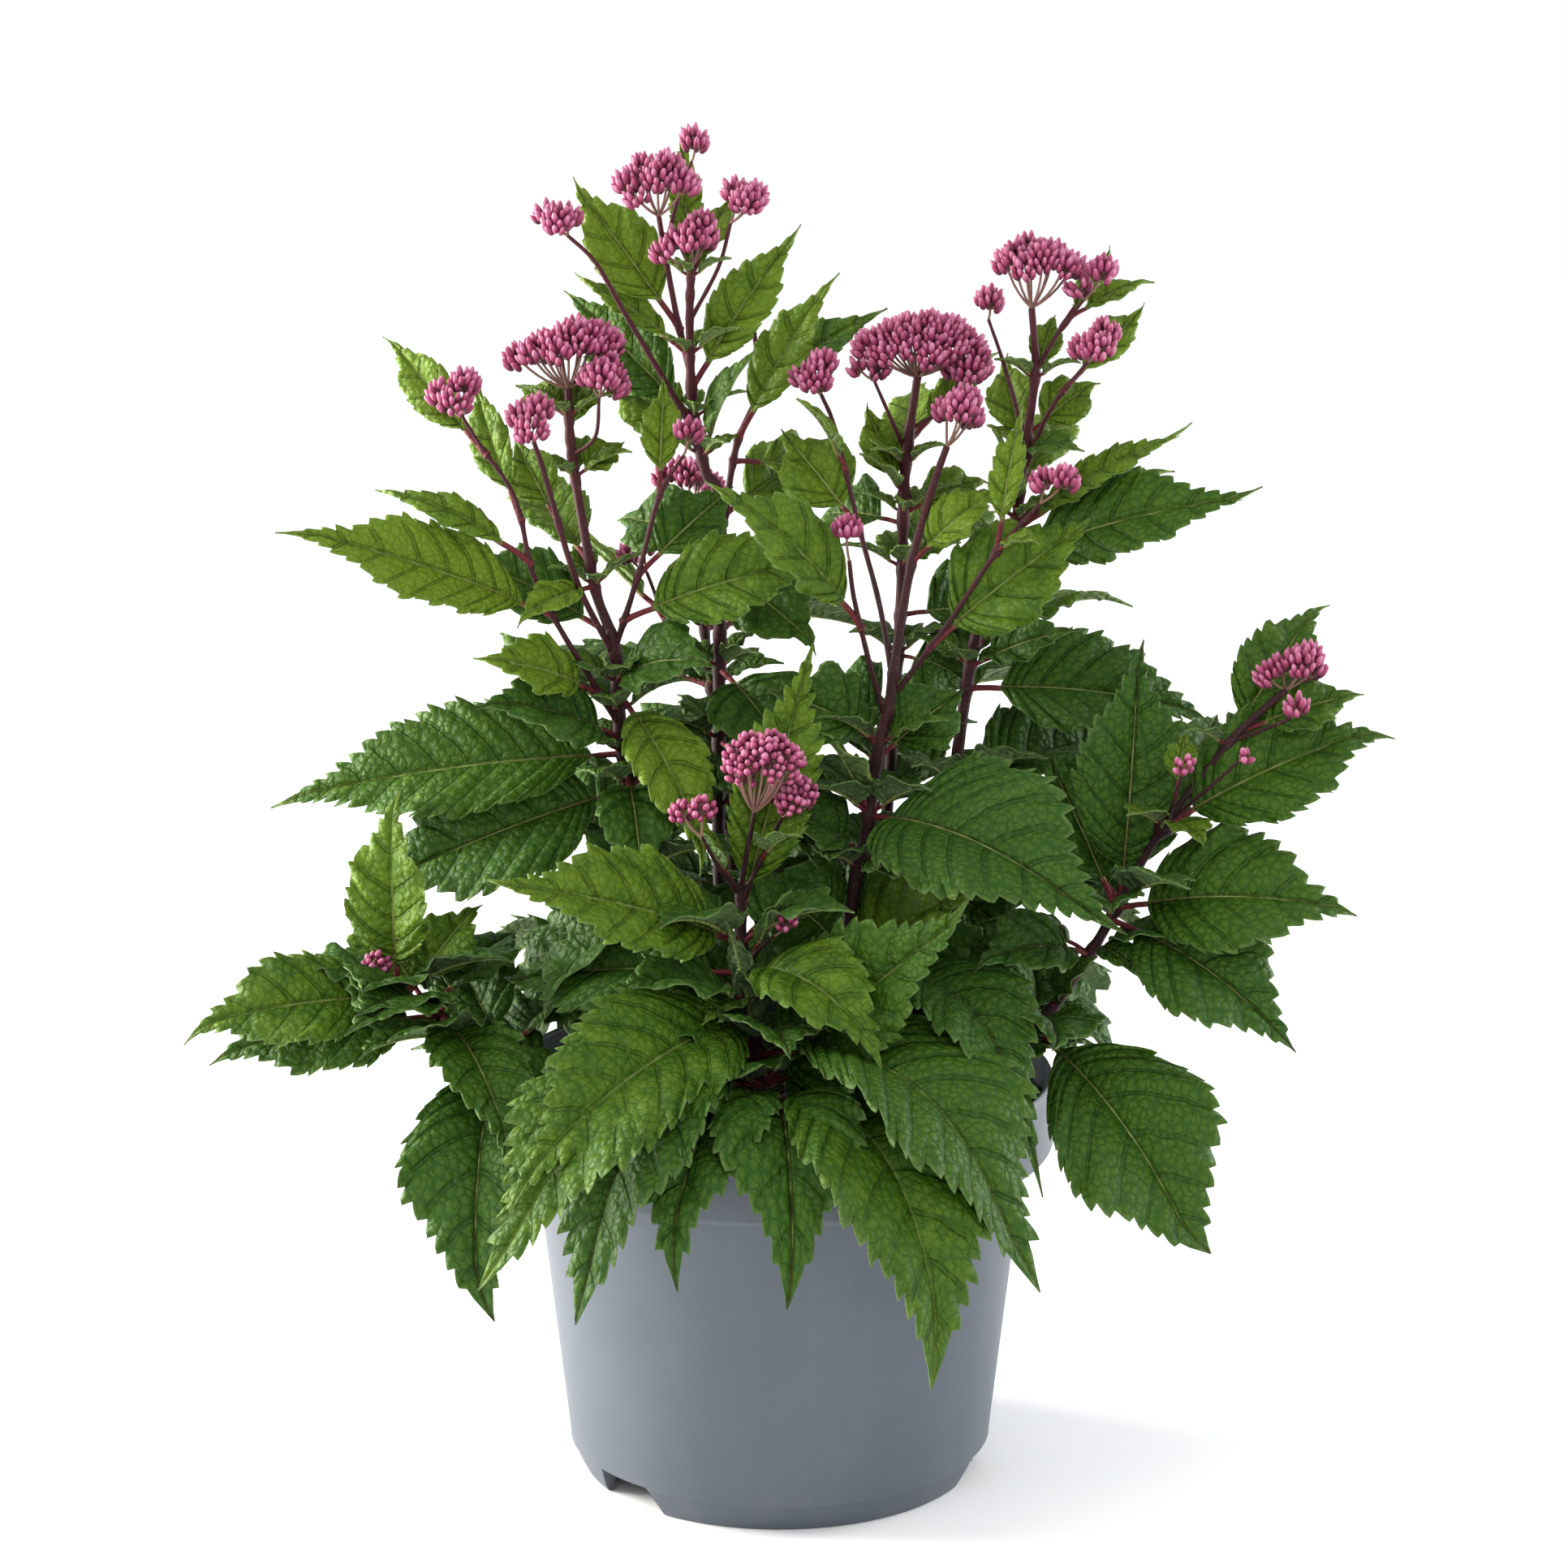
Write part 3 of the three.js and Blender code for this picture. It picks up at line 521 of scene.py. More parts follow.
def paint_peat(nodes):
    place = nodes.object_place()
    clods = nodes.noise(place, 90.0, 5.0)
    specks = nodes.noise(place, 700.0, 3.0)
    dark = nodes.mix(clods.step(0.35, 0.7), DAMP_PEAT, DRIER_PEAT)
    speckled = nodes.mix(specks.step(0.62, 0.75) * 0.6, dark, FIBRE)
    bump = nodes.bump(clods + specks * 0.5, strength=0.8, depth=0.0012)
    return {"Base Color": speckled, "Roughness": 0.85 + specks * 0.15, "Normal": bump}


peat = material("peat", paint_peat)

# %% [markdown]
# ## Leaf skin
#
# A leaf of this plant is quilted: the side veins are sunk between long pillows, and a fine net
# divides every pillow again. The long pillows are geometry, and the net is bump and colour. Flat
# Voronoi cells make it: the distance to a cell's middle gives a small pillow, and the distance to
# its edge a thin sunk line. Two noises bend the cells, because no vein of a leaf is straight. The
# colour also paints light and shade on this relief: a painted highlight on every small pillow, and
# painted shade in the net's lines and along the side veins.
#
# The net is laid out on the blade as if that were flat, in steps of one side vein to the next: each
# point carries how far it is from the midrib, how far along the blade, and the number of side veins
# below it. So the net bends with the leaf and shrinks on a small one. Each leaf starts its measure
# elsewhere. Undersides are greyer and paler, with pale veins, and stalks are flushed with red.

# %% Leaf colours
# From dark to bright, these greens paint the shade and light on a leaf, and a young leaf's paler
# green.
LEAF_DARK = colour(38, 74, 16)
LEAF_MIDDLE = colour(47, 81, 9)
LEAF_BRIGHT = colour(93, 119, 23)
# The next two colours are painted shade: in the net's sunk lines and in the side veins' grooves.
NET_LINE_SHADE = colour(26, 50, 10)
SIDE_VEIN_SHADE = colour(24, 44, 14)
OLD_RIB = colour(66, 64, 40)
YOUNG_RIB = colour(112, 132, 66)
RIM = colour(128, 150, 88)
UNDERSIDE = colour(112, 134, 92)
UNDERSIDE_VEIN = colour(142, 158, 112)
RED_STALK = colour(96, 38, 42)
GREEN_STALK = colour(126, 138, 78)

# %% Leaf finish
NET_CELLS = 3.0  # cells of the fine net from one side vein to the next
CELL_HALF = 0.85  # from a cell's middle to the foot of its pillow
LINE_HALF = 0.075  # half the width of the net's lines
RELIEF_DEPTH = 0.0013  # in metres


def leaf_net(nodes, spread):
    """The fine net's pillows, 1 at each one's middle, and its lines, 1 along each one's middle."""
    wander = nodes.scaled(nodes.cloudy(spread, 0.8), 0.9)
    ripple = nodes.scaled(nodes.cloudy(spread, 2.6), 0.4)
    bends = nodes.vector("ADD", wander, ripple)
    inputs = {"Vector": nodes.vector("ADD", spread, bends), "Scale": 1.0}
    to_middle, to_edge = [
        nodes.add("ShaderNodeTexVoronoi", {"voronoi_dimensions": "2D", "feature": feature}, inputs)
        for feature in ("F1", "DISTANCE_TO_EDGE")
    ]
    return to_middle.step(CELL_HALF, 0.0), to_edge.step(LINE_HALF, 0.0)


def paint_leaf(nodes):
    place = nodes.attribute("vein_place", "Vector")
    across, _, veins = nodes.parts(place)
    far, along, light_and_age_tone = nodes.parts(nodes.attribute("blade_place", "Vector"))
    spread = nodes.vector("MULTIPLY", place, (NET_CELLS, NET_CELLS, 0.0))
    pillow, net = leaf_net(nodes, spread)
    side_vein = (veins + nodes.noise(spread, 0.5, 1.0) * 0.16).away_from_whole()
    side_line = side_vein.step(0.1, 0.02) * far.step(1.0, 0.75) * along.step(0.0, 0.05)
    midrib = across.size().step(0.11, 0.04)
    cloud = nodes.noise(spread, 0.35, 3.0)
    fine = nodes.noise(spread, 6.0, 3.0)

    # The tone paints light and shade into the green, and a young leaf's paler green; the clouds are
    # the leaf's own uneven colour.
    shade = (light_and_age_tone * 0.34 + (cloud - 0.5) * 0.8 + along * 0.1).step(0.0, 1.06)
    green = nodes.ramp(shade, (0.0, LEAF_DARK), (0.5, LEAF_MIDDLE), (1.0, LEAF_BRIGHT))
    # A painted highlight on each small pillow of the net.
    raised = nodes.mix(pillow * 0.55, green, nodes.mix(0.4, green, LEAF_BRIGHT))
    # Painted shade in the net's sunk lines.
    netted = nodes.mix(net * 0.42, raised, nodes.mix(0.6, green, NET_LINE_SHADE))
    # Painted shade in the grooves of the side veins.
    veined = nodes.mix(side_line * 0.45, netted, nodes.mix(0.6, green, SIDE_VEIN_SHADE))
    ribbed = nodes.mix(midrib * 0.42, veined, nodes.mix(light_and_age_tone.step(0.0, 1.6), OLD_RIB, YOUNG_RIB))
    rimmed = nodes.mix(far.step(0.94, 1.0) * 0.2, ribbed, RIM)

    pale_veins = (side_line + net * 0.35).smaller(1.0)
    backed = nodes.mix(pale_veins * 0.5, nodes.mix(0.55, green, UNDERSIDE), UNDERSIDE_VEIN)
    under = nodes.attribute("underside")
    blade = nodes.mix(under, rimmed, backed)
    stalk = nodes.mix(along.step(-0.1, 0.5), RED_STALK, GREEN_STALK)
    all_over = nodes.mix(nodes.attribute("stalk"), blade, stalk)

    relief = pillow * 0.6 - net * 0.08 - side_line * 0.8 - midrib * 0.35 + fine * 0.02
    return {
        "Base Color": all_over,
        "Roughness": 0.48 + under * 0.15 + fine * 0.16 - pillow * 0.05,
        "Specular IOR Level": 0.18,
        "Normal": nodes.bump(relief, strength=1.0, depth=RELIEF_DEPTH),
    }


leaf_skin = material("leaf skin", paint_leaf)

# %% [markdown]
# ## Stem bark
#
# The shoots are burgundy, nearly black low down and pinker near the heads, with fine ribs along
# their length and small pale lenticels. No rib is deeper than a hair, so all of it is colour and a
# shallow bump, and what changes up the shoot reads the height.


# %% Stem finish
OLD_BARK = colour(37, 14, 16)
YOUNG_BARK = colour(68, 24, 32)
BROWN_PATCH = colour(62, 36, 30)
BARK_RIB = colour(88, 42, 44)
LENTICEL = colour(140, 108, 96)
OLD_BELOW, YOUNG_ABOVE = 0.25, 0.52  # heights in metres


def paint_stem(nodes):
    place = nodes.object_place()
    height = nodes.parts(place)[2]
    ribs = nodes.noise(nodes.vector("MULTIPLY", place, (1.0, 1.0, 0.12)), 700.0, 2.0)
    patches = nodes.noise(place, 45.0, 3.0)
    dots = nodes.noise(place, 800.0, 1.0).step(0.66, 0.74)
    young = (height + (patches - 0.5) * 0.25).step(OLD_BELOW, YOUNG_ABOVE)
    bark = nodes.mix(young, OLD_BARK, YOUNG_BARK)
    mottled = nodes.mix(patches.step(0.5, 0.75) * 0.4, bark, BROWN_PATCH)
    ribbed = nodes.mix(ribs.step(0.5, 0.8) * 0.3, mottled, BARK_RIB)
    return {
        "Base Color": nodes.mix(dots * 0.3, ribbed, LENTICEL),
        "Roughness": 0.55 + patches * 0.2,
        "Specular IOR Level": 0.25,
        "Normal": nodes.bump(ribs * 0.7 + dots * 0.5, strength=0.5, depth=0.0003),
    }


stem_bark = material("stem bark", paint_stem)

# %% [markdown]
# ## Buds
#
# A bud is a closed cup of overlapping scales, deep magenta at its foot and paler at its tip, on a
# brownish stalk that turns wine red towards it. The darkest colour, at the foot, is partly painted
# shade from the gaps between the buds. One material serves them all, because each point carries how
# far up its bud it is, below 0 on a stalk, and each bud carries a number of its own, which shifts
# its colour a little.


# %% Bud finish
BUD_COLOURS_AND_SHADE = [  # how far up the bud, and the colour there
    # The foot's colour is partly painted shade from the gaps between the buds.
    (0.0, colour(60, 12, 26)),
    (0.3, colour(114, 28, 62)),
    (0.65, colour(153, 56, 97)),
    (1.0, colour(188, 114, 145)),
]
STALK_FOOT = colour(120, 84, 74)
STALK_END = colour(104, 44, 58)


def paint_bud(nodes):
    along = nodes.attribute("along_bud")
    own = nodes.attribute("own_shade")
    stretched = nodes.vector("MULTIPLY", nodes.object_place(), (1.0, 1.0, 0.45))
    scales = nodes.noise(stretched, 900.0, 2.0)
    climb = along + (scales - 0.5) * 0.35 + (own - 0.5) * 0.42
    pink = nodes.ramp(climb, *BUD_COLOURS_AND_SHADE)
    stalk = nodes.mix((along + 1.0).step(0.1, 0.9), STALK_FOOT, STALK_END)
    both = nodes.mix(along.step(-0.02, 0.0), stalk, pink)
    bump = nodes.bump(scales, strength=0.5, depth=0.0004)
    return {"Base Color": both, "Roughness": 0.5 + scales * 0.2, "Normal": bump}


bud_skin = material("bud skin", paint_bud)

# %% [markdown]
# ## The pot
#
# The pot is one turned form: a collar with rounded edges, a wall that tapers to the foot, and a
# floor that is raised between the foot ring and a pressed-down middle. A profile turned round the
# axis gives that exactly, with small arcs where the CAD has corners. A fine bead runs round the
# wall where the mould's two halves met, and three notches let water out through the foot ring.

# %% Pot sizes
SEGMENTS = 128
POT_HEIGHT = 172
COLLAR_RADIUS = 115
COLLAR_FOOT = 141  # height of the collar's lower edge
SHOULDER_RADIUS = 103.7
FOOT_RADIUS = 82.2
FLOOR_HEIGHT = 10.5
WALL = 1.9
CENTRE_RADIUS = 24
BEAD_HEIGHT = 12.5
NOTCH_WIDTH = 36
NOTCH_HEIGHT = 13
NOTCHES = [-47, 74, 194]  # degrees round from the front


def rounded(corners, steps=4):
    """A closed outline whose corners, given as (radius, height, rounding), become small arcs."""
    points = []
    for i, (r, h, rounding) in enumerate(corners):
        here = np.array([r, h], dtype=float)
        before = np.array(corners[i - 1][:2]) - here
        after = np.array(corners[(i + 1) % len(corners)][:2]) - here
        if rounding == 0:
            points.append(here)
            continue
        start = here + before / np.linalg.norm(before) * rounding
        end = here + after / np.linalg.norm(after) * rounding
        for share in np.linspace(0, 1, steps + 1):
            arc = (1 - share) ** 2 * start + 2 * share * (1 - share) * here + share**2 * end
            points.append(arc)
    return points


def turned(name, outline, segments):
    """A closed outline of radius and height turned round the Z axis, closed where it meets it."""
    made = bmesh.new()
    angles = [2 * math.pi * k / segments for k in range(segments)]
    rings = []
    for r, h in outline:
        if r < 0.01:
            rings.append([made.verts.new((0, 0, h * MM))] * segments)
            continue
        ring = [(r * math.cos(a) * MM, r * math.sin(a) * MM, h * MM) for a in angles]
        rings.append([made.verts.new(point) for point in ring])
    for low, high in zip(rings, rings[1:] + rings[:1]):
        for k in range(segments):
            corners = [low[k], low[(k + 1) % segments], high[(k + 1) % segments], high[k]]
            distinct = list(dict.fromkeys(corners))
            if len(distinct) > 2:
                made.faces.new(distinct)
    bmesh.ops.recalc_face_normals(made, faces=made.faces)
    mesh = bpy.data.meshes.new(name)
    made.to_mesh(mesh)
    made.free()
    return mesh


# %% Make the pot
def pot_outline():
    outside = [
        (0, 0, 0),
        (CENTRE_RADIUS, 0, 1.5),
        (CENTRE_RADIUS + 9, FLOOR_HEIGHT, 2),
        (FOOT_RADIUS - 2.4, FLOOR_HEIGHT, 1),
        (FOOT_RADIUS - 2, 0, 0.5),
        (FOOT_RADIUS + 1, 0, 1.2),
        (FOOT_RADIUS + 4.2, 6, 2),
        (FOOT_RADIUS + 6.3, BEAD_HEIGHT - 1, 0.3),
        (FOOT_RADIUS + 7.1, BEAD_HEIGHT - 0.4, 0.15),
        (FOOT_RADIUS + 7.1, BEAD_HEIGHT + 0.4, 0.2),
        (FOOT_RADIUS + 7.5, 18, 3),
        (SHOULDER_RADIUS, COLLAR_FOOT - 0.5, 0.6),
        (COLLAR_RADIUS - 1.4, COLLAR_FOOT, 0.6),
        (COLLAR_RADIUS, COLLAR_FOOT + 2, 1.0),
        (COLLAR_RADIUS, POT_HEIGHT - 2, 1.2),
        (COLLAR_RADIUS - 1.4, POT_HEIGHT, 0.6),
    ]
    inside = [
        (COLLAR_RADIUS - 3, POT_HEIGHT - 1, 0.6),
        (COLLAR_RADIUS - 3, COLLAR_FOOT + WALL, 1),
        (SHOULDER_RADIUS - WALL, COLLAR_FOOT + WALL, 1),
        (FOOT_RADIUS + 5.5, 18.5, 2),
        (FOOT_RADIUS + 3.5, FLOOR_HEIGHT + WALL, 1),
        (CENTRE_RADIUS + 9, FLOOR_HEIGHT + WALL, 2),
        (CENTRE_RADIUS, WALL, 2),
        (0, WALL, 0),
    ]
    return rounded(outside + inside)


def notch_cutters():
    """The three wedges that are cut from the foot ring, as one mesh."""
    half = NOTCH_WIDTH / 2
    outline = [(-half, -3), (half, -3), (half - 1, 4), (half - 4, NOTCH_HEIGHT)]
    outline += [(4 - half, NOTCH_HEIGHT), (1 - half, 4)]
    made = bmesh.new()
    for degrees in NOTCHES:
        turn = math.radians(degrees)
        rings = []
        for depth in (FOOT_RADIUS - 8, FOOT_RADIUS + 14):
            ring = []
            for u, h in outline:
                x = u * math.cos(turn) + depth * math.sin(turn)
                y = u * math.sin(turn) - depth * math.cos(turn)
                ring.append(made.verts.new((x * MM, y * MM, h * MM)))
            rings.append(ring)
        made.faces.new(rings[0])
        made.faces.new(rings[1])
        for k in range(len(outline)):
            after = (k + 1) % len(outline)
            made.faces.new([rings[0][k], rings[0][after], rings[1][after], rings[1][k]])
    bmesh.ops.recalc_face_normals(made, faces=made.faces)
    mesh = bpy.data.meshes.new("notch_cutters")
    made.to_mesh(mesh)
    made.free()
    return mesh


def make_pot():
    body = add_object("pot_blank", turned("pot_blank", pot_outline(), SEGMENTS))
    cutter = add_object("notch_cutters", notch_cutters())
    cut = body.modifiers.new("notches", "BOOLEAN")
    cut.object = cutter
    cut.solver = "EXACT"
    mesh = after_modifiers(body)
    bpy.data.objects.remove(cutter)
    shade_smooth(mesh, degrees=38)
    mesh.materials.clear()
    mesh.materials.append(pot_plastic)
    return piece("nursery_pot", mesh, ["pot"])


print(f"Pot: {make_pot()} triangles")

# %% [markdown]
# ## The root ball
#
# Only the top shows, between the lowest leaves. The body is turned from the inside of the pot with
# half a millimetre to spare, with a top of fine rings that sums of sines raise into lumps, as in
# the CAD. Geometry Nodes then scatter crumbs and fibres over the top.

# %% Root ball sizes
SOIL_HEIGHT = 159
SOIL_GAP = 0.5
SOIL_SEGMENTS = 96
TOP_RINGS = 26
TOP_ABOVE = 0.15  # metres: crumbs lie on what is higher than this and looks up
CRUMB = 0.0016  # radius in metres
CRUMBS_APART = 0.003
CRUMB_BUMPS = 0.0025
MOST_CRUMBS = 3e5  # on a square metre, more than there is room for
FULL_TURN = 6.28  # radians


def soil_outline():
    gap = SOIL_GAP
    side = [
        (0, WALL + gap),
        (CENTRE_RADIUS - gap, WALL + gap),
        (CENTRE_RADIUS + 9 - gap, FLOOR_HEIGHT + WALL + gap),
        (FOOT_RADIUS + 3.5 - gap, FLOOR_HEIGHT + WALL + gap),
        (FOOT_RADIUS + 5.5 - gap, 18.5),
        (SHOULDER_RADIUS - WALL - gap, COLLAR_FOOT + WALL + gap),
        (COLLAR_RADIUS - 3 - gap, COLLAR_FOOT + WALL + gap),
        (COLLAR_RADIUS - 3 - gap, SOIL_HEIGHT - 3),
    ]
    top = [(r, SOIL_HEIGHT) for r in np.linspace(COLLAR_RADIUS - 8, 0, TOP_RINGS)]
    return side + top


def lump(x, y):
    """How far the peat stands over its level, in millimetres."""
    broad = 1.4 * math.sin(0.13 * x + 0.4) * math.cos(0.11 * y) + math.sin(0.31 * x - 0.27 * y)
    return broad + 0.5 * math.sin(0.83 * x + 0.61 * y) * math.cos(0.74 * y - 0.2 * x)


def crumb_tree():
    """Crumbs scattered over the faces that look up."""
    nodes, given = new_tree(
        "crumbs",
        Spacing=("Float", CRUMBS_APART),
        Crumb=("Float", CRUMB),
        Seed=("Int", 4),
        Finish=("Material", None),
    )
    level = nodes.parts(nodes.position())[2]
    upward = nodes.parts(nodes.normal())[2]
    on_top = upward.above(0.5) * level.above(TOP_ABOVE)
    apart, seed = given.of("Spacing"), given.of("Seed")
    spots = nodes.scattered(given, apart, MOST_CRUMBS, seed, Selection=on_top)
    ball_sizes = {"Radius": given.of("Crumb"), "Subdivisions": 1}
    ball = nodes.add("GeometryNodeMeshIcoSphere", None, ball_sizes)
    uneven = nodes.vector("SUBTRACT", nodes.cloudy(nodes.position(), 900.0), (0.5, 0.5, 0.5))
    crumb = nodes.shifted(ball, nodes.scaled(uneven, CRUMB_BUMPS))
    turn = nodes.random_vector((0.0, 0.0, 0.0), (FULL_TURN, FULL_TURN, FULL_TURN))
    stretch = nodes.random_vector((0.4, 0.4, 0.3), (1.8, 1.1, 0.9))
    crumbs = nodes.copies(spots, crumb, Rotation=turn, Scale=stretch)
    return finish_tree(nodes, nodes.joined(given, crumbs), given.of("Finish"))


def make_soil():
    body = turned("root_ball", soil_outline(), SOIL_SEGMENTS)
    for vertex in body.vertices:
        x, y, z = vertex.co / MM
        if z > SOIL_HEIGHT - 4:
            vertex.co.z += lump(x, y) * MM
    mesh = grown("root_ball", body, crumb_tree(), Finish=peat)
    return piece("root_ball", mesh, ["soil"])


print(f"Root ball: {make_soil()} triangles")
